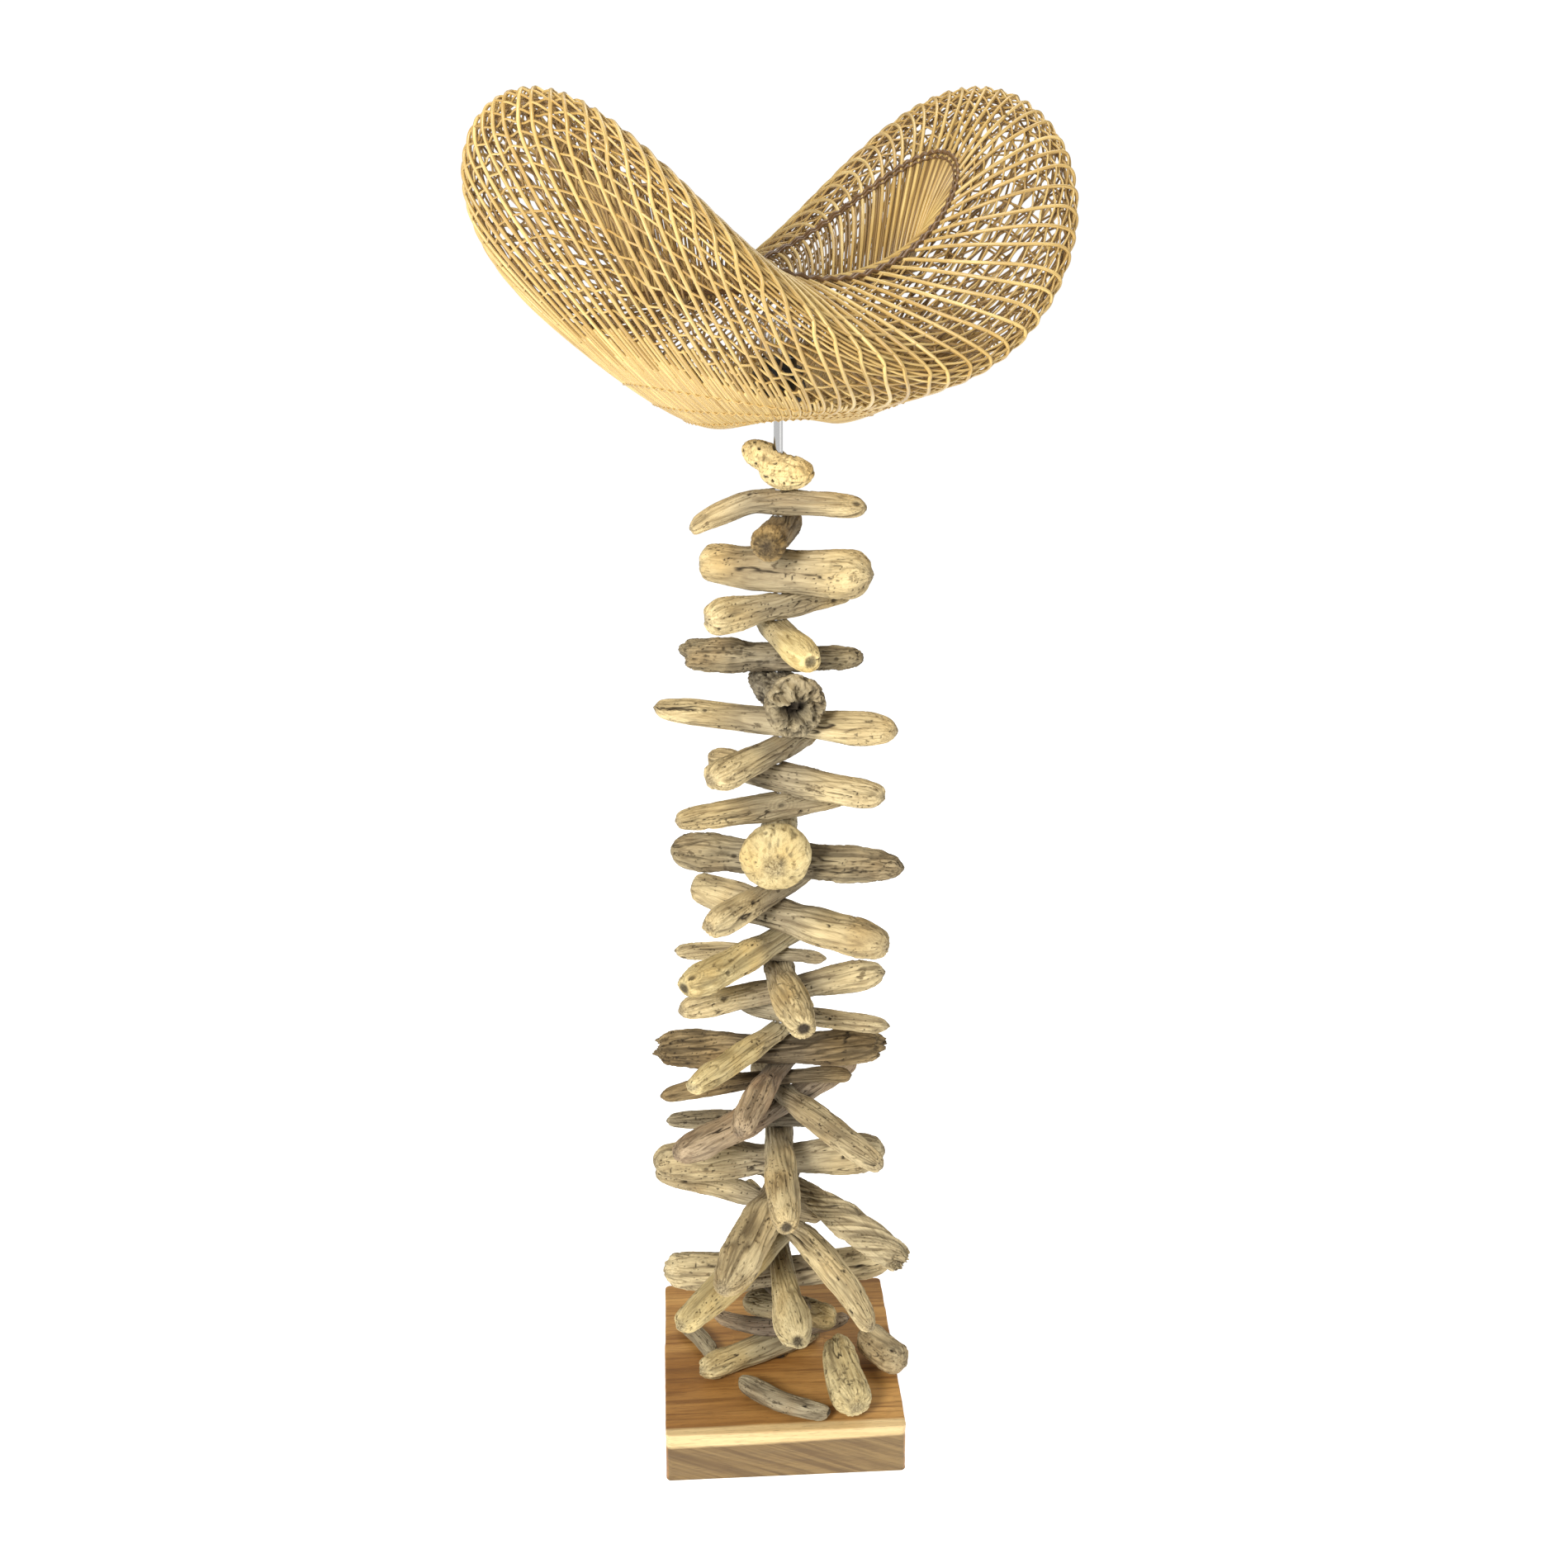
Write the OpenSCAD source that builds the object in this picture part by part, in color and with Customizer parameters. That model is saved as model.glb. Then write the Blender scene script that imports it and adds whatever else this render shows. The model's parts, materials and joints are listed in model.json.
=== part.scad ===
// Driftwood floor lamp: a solid wood slab, a threaded tube, pieces of driftwood
// threaded on the tube, an E27 lamp holder with its bulb, and a saddle-shaped
// rattan shade. The origin is the middle of the slab's underside, +Z is up and
// the lamp's front faces -Y. All sizes are in millimetres.

/* [Base slab] */
// Width of the slab, left to right
slab_w = 300; // [240:5:400]
// Depth of the slab, front to back
slab_d = 300; // [240:5:400]
// Thickness of the slab
slab_h = 70; // [55:1:100]
// Radius of the slab's upright corners
slab_corner = 8; // [2:1:20]
// Diameter of the pocket under the slab
pocket_d = 60; // [50:1:80]
// Depth of the pocket under the slab
pocket_h = 30; // [26:1:40]

/* [Tube] */
// Outer diameter of the threaded tube
tube_d = 10; // [8:0.5:14]
// Diameter of the hole in the tube, which the cable runs through
tube_bore = 7; // [4:0.5:7]
// Length of tube seen between the top piece of driftwood and the lamp holder
tube_shown = 45; // [25:1:90]
// Length of tube screwed into the lamp holder's cap
tube_in_cap = 10; // [6:1:14]
// Length of tube that stands out below the lower nut
tube_tail = 4; // [2:0.5:8]
// Radial play of the tube in the slab, the nuts and the cap
tube_play = 0.1; // [0.05:0.05:0.5]

/* [Fasteners] */
// Width across the flats of the clamping nuts
nut_flats = 17; // [16:1:22]
// Height of a clamping nut
nut_h = 6; // [4:0.5:8]
// Diameter of the washer over the lower nut
washer_d = 30; // [24:1:36]
// Thickness of the washer
washer_h = 2; // [1:0.5:3]
// Depth of the upper nut below the slab's top
nut_cover = 1; // [0.5:0.5:4]

/* [Cable inlet] */
// Diameter of the cable channel drilled in from the back of the slab
channel_d = 12; // [10:0.5:14]
// Height of the channel's axis above the floor
channel_z = 12; // [10:1:18]
// Diameter of the hole in the inlet bushing
inlet_bore = 7; // [5:0.5:8]
// Length of the bushing inside the slab
inlet_depth = 16; // [10:1:30]
// Diameter of the bushing's collar
inlet_collar_d = 18; // [17:1:22]
// Thickness of the bushing's collar
inlet_collar_h = 3; // [2:0.5:5]

/* [Driftwood] */
// Gap between one piece of driftwood and the next, at the tube
stack_gap = 0.2; // [0.1:0.1:2]
// Radial clearance of the holes drilled for the tube
wood_clearance = 0.5; // [0.2:0.1:1.5]
// Reach of the flattened part of each piece, either side of the tube
waist = 26; // [20:1:40]
// Length over which a piece swells from its flattened part to its full girth
swell = 34; // [20:1:60]
// Gap between the loose foot pieces and the slab
foot_gap = 0.3; // [0.1:0.1:1]

/* [Lamp holder] */
// Outer diameter of the holder's threaded shell
shell_d = 39.4; // [38:0.2:42]
// Wall of the cap and the shell
holder_wall = 2; // [1.5:0.1:3]
// Height of the holder's cap
cap_h = 22; // [18:1:30]
// Diameter of the cap at its neck
cap_neck_d = 24; // [20:1:30]
// Height of the holder's shell
shell_h = 36; // [34:1:44]
// Length of the shell's spigot inside the cap
spigot_h = 5; // [3:0.5:8]
// Height of the shoulder above the shell's foot
shoulder_z = 12; // [8:1:16]
// Diameter of the shoulder that the shade rests on
shoulder_d = 46; // [44:1:48]
// Thickness of the shoulder
shoulder_h = 3; // [2:0.5:4]
// Clearance between pieces that turn on one another
turn_clearance = 0.3; // [0.2:0.05:0.6]
// Diameter of the shade ring
ring_d = 54; // [52:1:60]
// Height of the shade ring
ring_h = 8; // [6:1:10]
// Outer diameter of the fitter's plate
plate_d = 58; // [56:1:64]
// Thickness of the fitter's plate
plate_h = 2; // [1:0.5:3]

/* [Bulb] */
// Diameter of the bulb's screw cap
bulb_cap_d = 26.4; // [26:0.1:26.8]
// Length of the bulb's screw cap
bulb_cap_h = 24; // [22:1:27]
// Diameter of the bulb's glass
bulb_d = 45; // [35:1:60]
// Wall of the glass
glass_wall = 1; // [0.6:0.1:1.5]
// Free height between the glass and the weave above it
bulb_clearance = 18; // [10:1:40]

/* [Shade] */
// Half length of the shade in plan, before it is bent
shade_a = 312; // [240:4:380]
// Half width of the shade in plan
shade_b = 250; // [200:5:310]
// Half height of the ring-shaped body
body_h = 45; // [34:1:60]
// Extra half height at the two raised lobes
lobe_h = 20; // [0:1:30]
// Rise of the two lobes
lobe_rise = 182; // [120:2:220]
// Drop of the front and the back
side_drop = 50; // [20:2:80]
// Fullness of the plan between the lobes and the sides
fullness = 0.2; // [0:0.01:0.3]
// Half length of the crease in the middle of the top
crease_a = 190; // [120:5:240]
// Half width of the crease
crease_b = 10; // [6:1:20]
// Height of the crease's floor above the body's middle
crease_z = 12; // [0:1:40]
// Slant of the ribs from the rim to the crease, in degrees
slant_top = -24; // [-40:1:40]
// Slant of the ribs from the rim to the neck, in degrees
slant_low = 31; // [-40:1:40]
// Wall of the weave
weave_wall = 5; // [4:0.5:8]
// Direction that the lobes point in, in degrees from +X
shade_heading = 38; // [0:1:90]
// Height of the fitter's plate above the neck of the shade
fitter_rise = 33; // [20:1:45]
// Radius of the wire hoop that the neck is tied to
hoop_r = 38; // [36:1:50]
// Diameter of the fitter's wire
wire_d = 4; // [3:0.5:5]
// Gap between the hoop and the weave
hoop_gap = 0.5; // [0.3:0.1:2]

/* [Hidden] */
$fn = 48;

stick_sides = 10;
shade_steps = 48;
shade_rows = 26;
fitter_arms = 3;
nut_sides = 6;

// Each piece threaded on the tube, from the slab up:
// name, heading, reach ahead, reach behind, thickness at the tube, width at the tube,
// radius ahead, radius behind, drop ahead, drop behind, sideways bow, and for some pieces
// how late the drop comes, the length of the swelling, and a shift to one side
threaded = [
    ["log_sawn_foot",     -153, 122,  62, 36, 42, 19, 15,  -2,  -2,   4],
    ["root_pink_bowed",     -5,  94,  90, 20, 36, 11, 11,   2,   0,  26, 1.3, 34, -11],
    ["block_pale",         -22,  80,  50, 32, 42, 18, 15,   0,   0,  -4],
    ["root_dark_core",     -60,  60,  90, 18, 34, 13, 14,   0,   8,   4],
    ["log_back_cross",       2, 152, 152, 38, 48, 23, 28,  -4,  -6,  10],
    ["branch_flared",      -88, 158,  60, 24, 32, 27, 15,  24,   0,   8, 1.3, 130],
    ["branch_smooth_left",-126, 210,  70, 26, 40, 22, 18,  12,   0, -10],
    ["branch_bent_right",  -55, 172,  90, 22, 34, 20, 16,  76,   0,  12, 2],
    ["branch_long_back",   148, 180,  70, 20, 30, 16, 10,   0,  -8,  12],
    ["branch_gnarled_left",-113,182,  60, 22, 46, 27, 17,  28,   0,  -8],
    ["branch_curly_right", -49, 216,  70, 18, 34, 23, 15,  30,   0,   8, 1.3, 110],
    ["log_low_cross",        0, 136, 160, 34, 46, 26, 27,   0,   4,  10],
    ["branch_front_low",   -92, 190,  64, 32, 38, 21, 16,   8,   0,   4],
    ["stub_left_low",      176, 142,  60, 16, 24, 12, 10,   0,   0,   6],
    ["branch_left_low",   -138, 168, 152, 24, 38, 21, 17,   2,   0, -10],
    ["branch_right_low",   -59, 194,  70, 18, 34, 18, 16,  14,   0,  14],
    ["root_dark_cross",      6,  92, 150, 16, 26, 12, 13,   0,   6, -10],
    ["branch_grey_front", -115, 150,  74, 14, 34, 19, 14,   8,   0,   8],
    ["log_grooved",         -2, 136, 158, 34, 44, 23, 25,   0,   0,   6],
    ["branch_pale_left",  -128, 178,  80, 20, 32, 16, 15,   2,   0,  -8],
    ["twig_right_mid",     -24, 138,  60, 30, 26, 12, 11,   0,   0,  10],
    ["log_knotted_cross",   17, 136, 132, 28, 36, 20, 17,  -4,   0, -10],
    ["branch_front_mid",   -85, 150,  60, 26, 40, 23, 17,   4,   0,   8],
    ["stub_left_mid",      170, 128,  58, 14, 24, 12,  9,   0,   0,   6],
    ["branch_left_mid",   -131, 172,  84, 26, 38, 21, 17,   0,   0,  -8],
    ["log_broad_cross",    -38, 148, 136, 38, 46, 25, 24,   6,   0,  10],
    ["branch_knot_left",  -129, 136,  76, 30, 32, 18, 15,   4,   0,  -6],
    ["log_dark_cross",     -15, 148, 134, 42, 46, 22, 24,   0,   0,   6],
    ["knob_ball_front",    -97,  94,  80, 30, 46, 40, 18,   8,   0,   0],
    ["branch_left_high",  -160, 132,  90, 34, 32, 16, 14,  -4,   0,   8],
    ["branch_right_high",  -37, 138, 108, 36, 36, 18, 17,   0,   0,  10],
    ["branch_stub_front", -128, 128,  80, 32, 36, 20, 16,   0,   0,  -6],
    ["log_long_cross",     -20, 138, 156, 32, 36, 20, 17,   0,   0,   8],
    ["root_burl_front",    -76,  84,  74, 44, 56, 36, 20,   0,   0,   0],
    ["log_rough_cross",     -8, 100, 116, 32, 40, 14, 23,   0,   0,   6],
    ["branch_sawn_front",  -77, 112,  70, 28, 38, 20, 16,   4,   0,   4],
    ["branch_tapered",    -150, 100,  98, 30, 36, 22, 11,   0,   0,   6],
    ["log_fat_round",      -22, 108,  98, 50, 54, 28, 25,   0,   0,   8],
    ["log_end_front",     -105,  84,  66, 36, 38, 20, 17,  -2,   0,   4],
    ["root_arched",        -12,  98, 104, 28, 32, 14, 15,   6,  36,  12],
];
// Height of the corky piece at the top, where the tube leaves it
top_knob_h = 37;

// Each piece lying on the slab: name, middle across and front to back as shares of half
// the slab, heading, length, radius near, radius far, rise of the far end, sideways bow
lying = [
    ["foot_arc",    0.01, -0.69,  -32, 138, 15, 14,  0, -12],
    ["foot_skull",  0.53, -0.63,   98, 118, 28, 22, 20,   4],
    ["foot_knob",   0.88, -0.23,  129,  84, 24, 22,  6,   3],
    ["foot_grey",  -0.72,  0.10,  -60,  92, 11, 12,  0,   6],
];

// Levels that follow from the sizes above
washer_z = pocket_h - washer_h;
nut_low_z = washer_z - nut_h;
tube_z = nut_low_z - tube_tail;
nut_top_z = slab_h - nut_cover - nut_h;
function stack_z(i) =
    i == 0 ? slab_h + stack_gap : stack_z(i - 1) + threaded[i - 1][4] + stack_gap;
knob_z = stack_z(len(threaded));
knob_top = knob_z + top_knob_h;
holder_z = knob_top + tube_shown;
shell_z = holder_z + cap_h;
shoulder_top = shell_z + shoulder_z + shoulder_h;
plate_z = shoulder_top + turn_clearance;
ring_z = plate_z + plate_h + turn_clearance;
neck_z = plate_z + plate_h - fitter_rise;
insert_floor = 5;
seat_h = 1;
seat_z = shell_z + seat_h;
insert_h = shell_h - 2 - seat_h;
insert_d = shell_d - 2 * holder_wall - 2 * tube_play;
contact_h = 2.6;
cup_d = bulb_cap_d + 2 * turn_clearance;
bulb_z = seat_z + insert_floor + contact_h + turn_clearance;
glass_z = bulb_z + bulb_cap_h;
glass_middle = glass_z + 0.62 * bulb_d;
bulb_top = glass_middle + bulb_d / 2;
shade_z = bulb_top + bulb_clearance + weave_wall - crease_z;
neck_drop = shade_z - neck_z;
neck_r = hoop_r + wire_d / 2 + hoop_gap;
wood_hole = tube_d + 2 * wood_clearance;
bushing_d = channel_d - 2 * tube_play;

function mix(a, b, k) = a + (b - a) * k;
function opt(s, i, usual) = len(s) > i ? s[i] : usual;
function ease(k) = let (c = min(1, max(0, k))) c * c * (3 - 2 * c);
// Slow uneven swelling that keeps one piece from looking like the next
function uneven(x, j, seed) =
    1 + 0.06 * sin(4 * x + 71 * seed) + 0.05 * sin(72 * j + 113 * seed + 2 * x);
// Level of the flat between the two uppermost sides of a ring
ring_flat = sin(360 * 2 / stick_sides);

// Places of the rings along a stick, between its two tips
function stations(ahead, behind) = concat(
    [for (k = [0.985, 0.9, 0.6, 0.25]) -mix(waist, behind, k)], [-waist, waist],
    [for (k = [0.2, 0.45, 0.72, 0.92, 0.985]) mix(waist, ahead, k)]);
// Blunt rounding of the two ends
function blunt(k) = sqrt(max(0, 1 - pow(max(0, k), 10)));

// Point of a stick's skin at distance x from the tube, on side j
function stick_point(s, x, j, seed) =
    let (
        ahead = x >= 0,
        reach = ahead ? s[2] : s[3],
        out = max(0, abs(x) - waist) / (reach - waist),
        full = ease((abs(x) - waist) / min(opt(s, 12, swell), reach - waist)),
        end_r = ahead ? s[6] : s[7],
        lump = mix(1, uneven(x, j, seed), full),
        ry = mix(s[5] / 2, end_r, full) * blunt(out) * lump,
        rz = mix(s[4] / 2 / ring_flat, end_r, full) * blunt(out) * lump,
        sink = (ahead ? s[8] : s[9]) * pow(out, opt(s, 11, 1.3)),
        side = opt(s, 13, 0) + s[10] * pow(x / reach, 2),
        a = 360 * j / stick_sides
    ) [x, side + ry * cos(a), rz * sin(a) - sink];

// One closed skin of rings between two tips
module skin(tip_a, rings, tip_b) {
    n = len(rings);
    m = len(rings[0]);
    polyhedron(
        points = concat([tip_a], [for (r = rings) each r], [tip_b]),
        faces = concat(
            [for (j = [0:m - 1]) [0, 1 + j, 1 + (j + 1) % m]],
            [for (i = [0:n - 2]) for (j = [0:m - 1])
                [1 + i * m + j, 1 + (i + 1) * m + (j + 1) % m, 1 + i * m + (j + 1) % m]],
            [for (i = [0:n - 2]) for (j = [0:m - 1])
                [1 + i * m + j, 1 + (i + 1) * m + j, 1 + (i + 1) * m + (j + 1) % m]],
            [for (j = [0:m - 1]) [1 + n * m, 1 + (n - 1) * m + (j + 1) % m, 1 + (n - 1) * m + j]]));
}

module stick(s, seed) {
    skin(stick_point(s, -s[3], 0, seed),
        [for (x = stations(s[2], s[3])) [for (j = [0:stick_sides - 1]) stick_point(s, x, j, seed)]],
        stick_point(s, s[2], 0, seed));
}

// A piece of driftwood drilled for the tube
module threaded_piece(i) {
    s = threaded[i];
    color(i % 3 == 0 ? "burlywood" : i % 3 == 1 ? "wheat" : "tan")
    difference() {
        translate([0, 0, stack_z(i) + s[4] / 2]) rotate([0, 0, s[1]]) stick(s, i);
        translate([0, 0, stack_z(i) - s[4]]) cylinder(h = 3 * s[4], d = wood_hole);
    }
}

// An uneven lump with its three radii
module lump(size, seed) {
    n = 9;
    function at(k, j) =
        let (t = 180 * k, g = uneven(90 * k, j, seed), a = 36 * j)
        [-size[0] * cos(t), size[1] * sin(t) * cos(a) * g, size[2] * sin(t) * sin(a) * min(1, g)];
    skin(at(0, 0), [for (i = [1:n]) [for (j = [0:stick_sides - 1]) at(i / (n + 1), j)]], at(1, 0));
}

// The corky piece: two lumps grown together
module knob_cork_top() {
    color("peru")
    difference() {
        union() {
            translate([9, -8, knob_z + 20]) rotate([0, 0, -30]) lump([32, 27, 19.5], 5);
            translate([-13, 5, knob_z + 34]) rotate([0, -24, 165]) lump([29, 20, 17], 8);
        }
        translate([0, 0, knob_z - 10]) cylinder(h = top_knob_h + 60, d = wood_hole);
    }
}

// A piece that lies on the slab
module lying_piece(p) {
    n = 9;
    places = [for (i = [1:n]) (1 - cos(180 * i / (n + 1))) / 2];
    function at(k, j) =
        let (
            r = mix(p[5], p[6], k) * pow(1 - pow(abs(2 * k - 1), 5), 0.5),
            a = 360 * j / stick_sides,
            low = max(p[5], p[6]) + p[7] * k
        ) [(k - 0.5) * p[4], p[8] * (1 - pow(2 * k - 1, 2)) + r * cos(a) * uneven(60 * k, j, p[4]),
           low + r * sin(a)];
    color("tan")
    translate([p[1] * slab_w / 2, p[2] * slab_d / 2, slab_h + foot_gap]) rotate([0, 0, p[3]])
        skin(at(0, 0), [for (k = places) [for (j = [0:stick_sides - 1]) at(k, j)]], at(1, 0));
}

module base_slab() {
    w = slab_w / 2 - slab_corner;
    d = slab_d / 2 - slab_corner;
    color("sienna")
    difference() {
        union() {
            translate([-slab_w / 2, -d, 0]) cube([slab_w, 2 * d, slab_h]);
            translate([-w, -slab_d / 2, 0]) cube([2 * w, slab_d, slab_h]);
            for (x = [-w, w]) for (y = [-d, d])
                translate([x, y, 0]) cylinder(h = slab_h, r = slab_corner);
        }
        translate([0, 0, -1]) cylinder(h = slab_h + 2, d = tube_d + 2 * tube_play);
        translate([0, 0, -1]) cylinder(h = pocket_h + 1, d = pocket_d);
        translate([0, 0, nut_top_z]) cylinder(h = nut_h + nut_cover + 1, d = nut_flats + 6);
        translate([0, slab_d / 2 + 1, channel_z]) rotate([90, 0, 0])
            cylinder(h = slab_d / 2 + 1, d = channel_d);
    }
}

module stem_tube() {
    color("silver")
    translate([0, 0, tube_z])
    difference() {
        cylinder(h = holder_z + tube_in_cap - tube_z, d = tube_d);
        translate([0, 0, -1]) cylinder(h = holder_z + tube_in_cap - tube_z + 2, d = tube_bore);
    }
}

module clamp_nut(z) {
    color("gray")
    translate([0, 0, z])
    difference() {
        cylinder(h = nut_h, d = nut_flats / cos(180 / nut_sides), $fn = nut_sides);
        translate([0, 0, -1]) cylinder(h = nut_h + 2, d = tube_d + 2 * tube_play);
    }
}

module clamp_washer() {
    color("gray")
    translate([0, 0, washer_z])
    difference() {
        cylinder(h = washer_h, d = washer_d);
        translate([0, 0, -1]) cylinder(h = washer_h + 2, d = tube_d + 2 * tube_play);
    }
}

module inlet_bushing() {
    color("black")
    translate([0, slab_d / 2, channel_z]) rotate([90, 0, 0])
    difference() {
        union() {
            cylinder(h = inlet_depth, d = bushing_d);
            translate([0, 0, -inlet_collar_h]) cylinder(h = inlet_collar_h, d = inlet_collar_d);
        }
        translate([0, 0, -inlet_collar_h - 1])
            cylinder(h = inlet_depth + inlet_collar_h + 2, d = inlet_bore);
    }
}

module holder_cap() {
    inner = shell_d - 2 * holder_wall;
    color("black")
    translate([0, 0, holder_z])
    difference() {
        union() {
            cylinder(h = tube_in_cap, d = cap_neck_d);
            translate([0, 0, 4]) cylinder(h = cap_h - spigot_h - 5, d1 = cap_neck_d, d2 = shell_d);
            translate([0, 0, cap_h - spigot_h - 1]) cylinder(h = spigot_h + 1, d = shell_d);
        }
        translate([0, 0, -1]) cylinder(h = cap_h, d = tube_d + 2 * tube_play);
        translate([0, 0, tube_in_cap]) cylinder(h = cap_h, d = cap_neck_d - 6);
        translate([0, 0, cap_h - spigot_h]) cylinder(h = spigot_h + 1, d = inner);
    }
}

module holder_shell() {
    inner = shell_d - 2 * holder_wall;
    color("black")
    difference() {
        union() {
            translate([0, 0, shell_z - spigot_h + tube_play])
                cylinder(h = spigot_h + 1, d = inner - 2 * tube_play);
            translate([0, 0, shell_z]) cylinder(h = shell_h, d = shell_d);
            translate([0, 0, shell_z + shoulder_z]) cylinder(h = shoulder_h, d = shoulder_d);
        }
        translate([0, 0, seat_z]) cylinder(h = shell_h + 1, d = inner);
        translate([0, 0, shell_z - spigot_h - 1])
            cylinder(h = spigot_h + seat_h + 2, d = inner - 2 * holder_wall);
    }
}

module holder_insert() {
    color("ivory")
    translate([0, 0, seat_z])
    difference() {
        cylinder(h = insert_h, d = insert_d);
        translate([0, 0, insert_floor]) cylinder(h = insert_h, d = cup_d);
        for (x = [-8, 8]) translate([x, 0, -1]) cylinder(h = insert_floor + 2, d = 2.5);
    }
}

module holder_contact() {
    color("gold")
    translate([0, 0, seat_z + insert_floor]) {
        cylinder(h = contact_h - 1, d = 5);
        translate([0, 0, contact_h - 1]) cylinder(h = 1, d = 9);
    }
}

module shade_ring() {
    color("black")
    translate([0, 0, ring_z])
    difference() {
        union() {
            cylinder(h = 3, d = ring_d);
            cylinder(h = ring_h, d = ring_d - 6);
            for (k = [0:11]) rotate([0, 0, 30 * k]) translate([ring_d / 2 - 3, 0, 0])
                cylinder(h = ring_h, d = 3);
        }
        translate([0, 0, -1]) cylinder(h = ring_h + 2, d = shell_d + 2 * turn_clearance);
    }
}

module bulb_cap() {
    color("silver")
    translate([0, 0, bulb_z]) {
        cylinder(h = 1.5, d = 9);
        translate([0, 0, 1.5]) cylinder(h = 2.5, d1 = 14, d2 = bulb_cap_d - 1);
        translate([0, 0, 4]) cylinder(h = bulb_cap_h - 4, d = bulb_cap_d);
    }
}

module glass_body(r, neck) {
    translate([0, 0, glass_middle - glass_z]) sphere(r = r, $fn = 96);
    cylinder(h = 0.62 * bulb_d - 0.55 * r, r1 = neck, r2 = 0.83 * r);
}

module bulb_glass() {
    color("lightcyan", 0.4)
    translate([0, 0, glass_z])
    difference() {
        glass_body(bulb_d / 2, bulb_cap_d / 2 - 1);
        translate([0, 0, 0]) intersection() {
            glass_body(bulb_d / 2 - glass_wall, bulb_cap_d / 2 - 1 - glass_wall);
            translate([0, 0, glass_wall]) cylinder(h = 2 * bulb_d, d = 2 * bulb_d);
        }
    }
}

module shade_fitter() {
    arm_top = [plate_d / 2 - wire_d / 2, plate_z + plate_h / 2];
    arm_foot = [hoop_r, neck_z + wire_d / 2];
    run = arm_foot[0] - arm_top[0];
    fall = arm_top[1] - arm_foot[1];
    color("dimgray") {
        difference() {
            translate([0, 0, plate_z]) cylinder(h = plate_h, d = plate_d);
            translate([0, 0, plate_z - 1]) cylinder(h = plate_h + 2, d = shell_d + 2 * turn_clearance);
        }
        translate([0, 0, neck_z]) difference() {
            cylinder(h = wire_d, r = hoop_r + wire_d / 2);
            translate([0, 0, -1]) cylinder(h = wire_d + 2, r = hoop_r - wire_d / 2);
        }
        for (k = [0:fitter_arms - 1]) rotate([0, 0, 90 + 360 * k / fitter_arms])
            translate([arm_foot[0], 0, arm_foot[1]]) rotate([0, -atan(run / fall), 0])
                cylinder(h = sqrt(run * run + fall * fall), d = wire_d);
    }
}

// Point of the weave: u0 runs round the shade, t from the crease (180) over the rim (0)
// to the neck (-180), w is the depth below the weave's outside
function shade_point(u0, t, w) =
    let (
        rho = (1 + cos(t)) / 2,
        up = t >= 0,
        u = u0 + (up ? slant_top : slant_low) * (1 - rho),
        a = shade_a - w,
        b = shade_b - w,
        end_x = (up ? crease_a : neck_r) + w,
        end_y = (up ? crease_b : neck_r) + w,
        x = cos(u) * a * rho * (1 + fullness * pow(sin(u), 2)) + cos(u0) * end_x * (1 - rho),
        y = sin(u) * b * rho * (1 + fullness * pow(cos(u), 2)) + sin(u0) * end_y * (1 - rho),
        bend = lobe_rise * pow(x / shade_a, 2) - side_drop * pow(y / shade_b, 2)
    ) [x, y, (body_h - w + lobe_h * cos(2 * u)) * sin(t)
        + (up ? crease_z - w : w - neck_drop) * (1 - rho)
        + bend * (up ? 1 - pow(1 - rho, 4) : 1)];

module rattan_shade() {
    n = shade_steps;
    m = shade_rows;
    outer = [for (j = [0:m]) for (i = [0:n - 1]) shade_point(360 * i / n, 180 - 360 * j / m, 0)];
    inner = [for (j = [0:m]) for (i = [0:n - 1])
        shade_point(360 * i / n, 180 - 360 * j / m, weave_wall)];
    k = n * (m + 1);
    function o(i, j) = j * n + i % n;
    function p(i, j) = k + j * n + i % n;
    color("goldenrod")
    translate([0, 0, shade_z]) rotate([0, 0, shade_heading])
    polyhedron(points = concat(outer, inner), faces = concat(
        [for (j = [0:m - 1]) for (i = [0:n - 1]) [o(i, j), o(i + 1, j), o(i + 1, j + 1)]],
        [for (j = [0:m - 1]) for (i = [0:n - 1]) [o(i, j), o(i + 1, j + 1), o(i, j + 1)]],
        [for (j = [0:m - 1]) for (i = [0:n - 1]) [p(i, j), p(i + 1, j + 1), p(i + 1, j)]],
        [for (j = [0:m - 1]) for (i = [0:n - 1]) [p(i, j), p(i, j + 1), p(i + 1, j + 1)]],
        [for (i = [0:n - 1]) [o(i, 0), p(i, 0), p(i + 1, 0)]],
        [for (i = [0:n - 1]) [o(i, 0), p(i + 1, 0), o(i + 1, 0)]],
        [for (i = [0:n - 1]) [o(i, m), p(i + 1, m), p(i, m)]],
        [for (i = [0:n - 1]) [o(i, m), o(i + 1, m), p(i + 1, m)]]));
}

base_slab();
stem_tube();
clamp_nut(nut_low_z);  // clamp_nut_low
clamp_nut(nut_top_z);  // clamp_nut_top
clamp_washer();
inlet_bushing();
for (i = [0:len(threaded) - 1])
    threaded_piece(i);
knob_cork_top();
for (p = lying)
    lying_piece(p);
holder_cap();
holder_shell();
holder_insert();
holder_contact();
shade_ring();
bulb_cap();
bulb_glass();
shade_fitter();
rattan_shade();
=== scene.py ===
import json
import math

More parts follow.
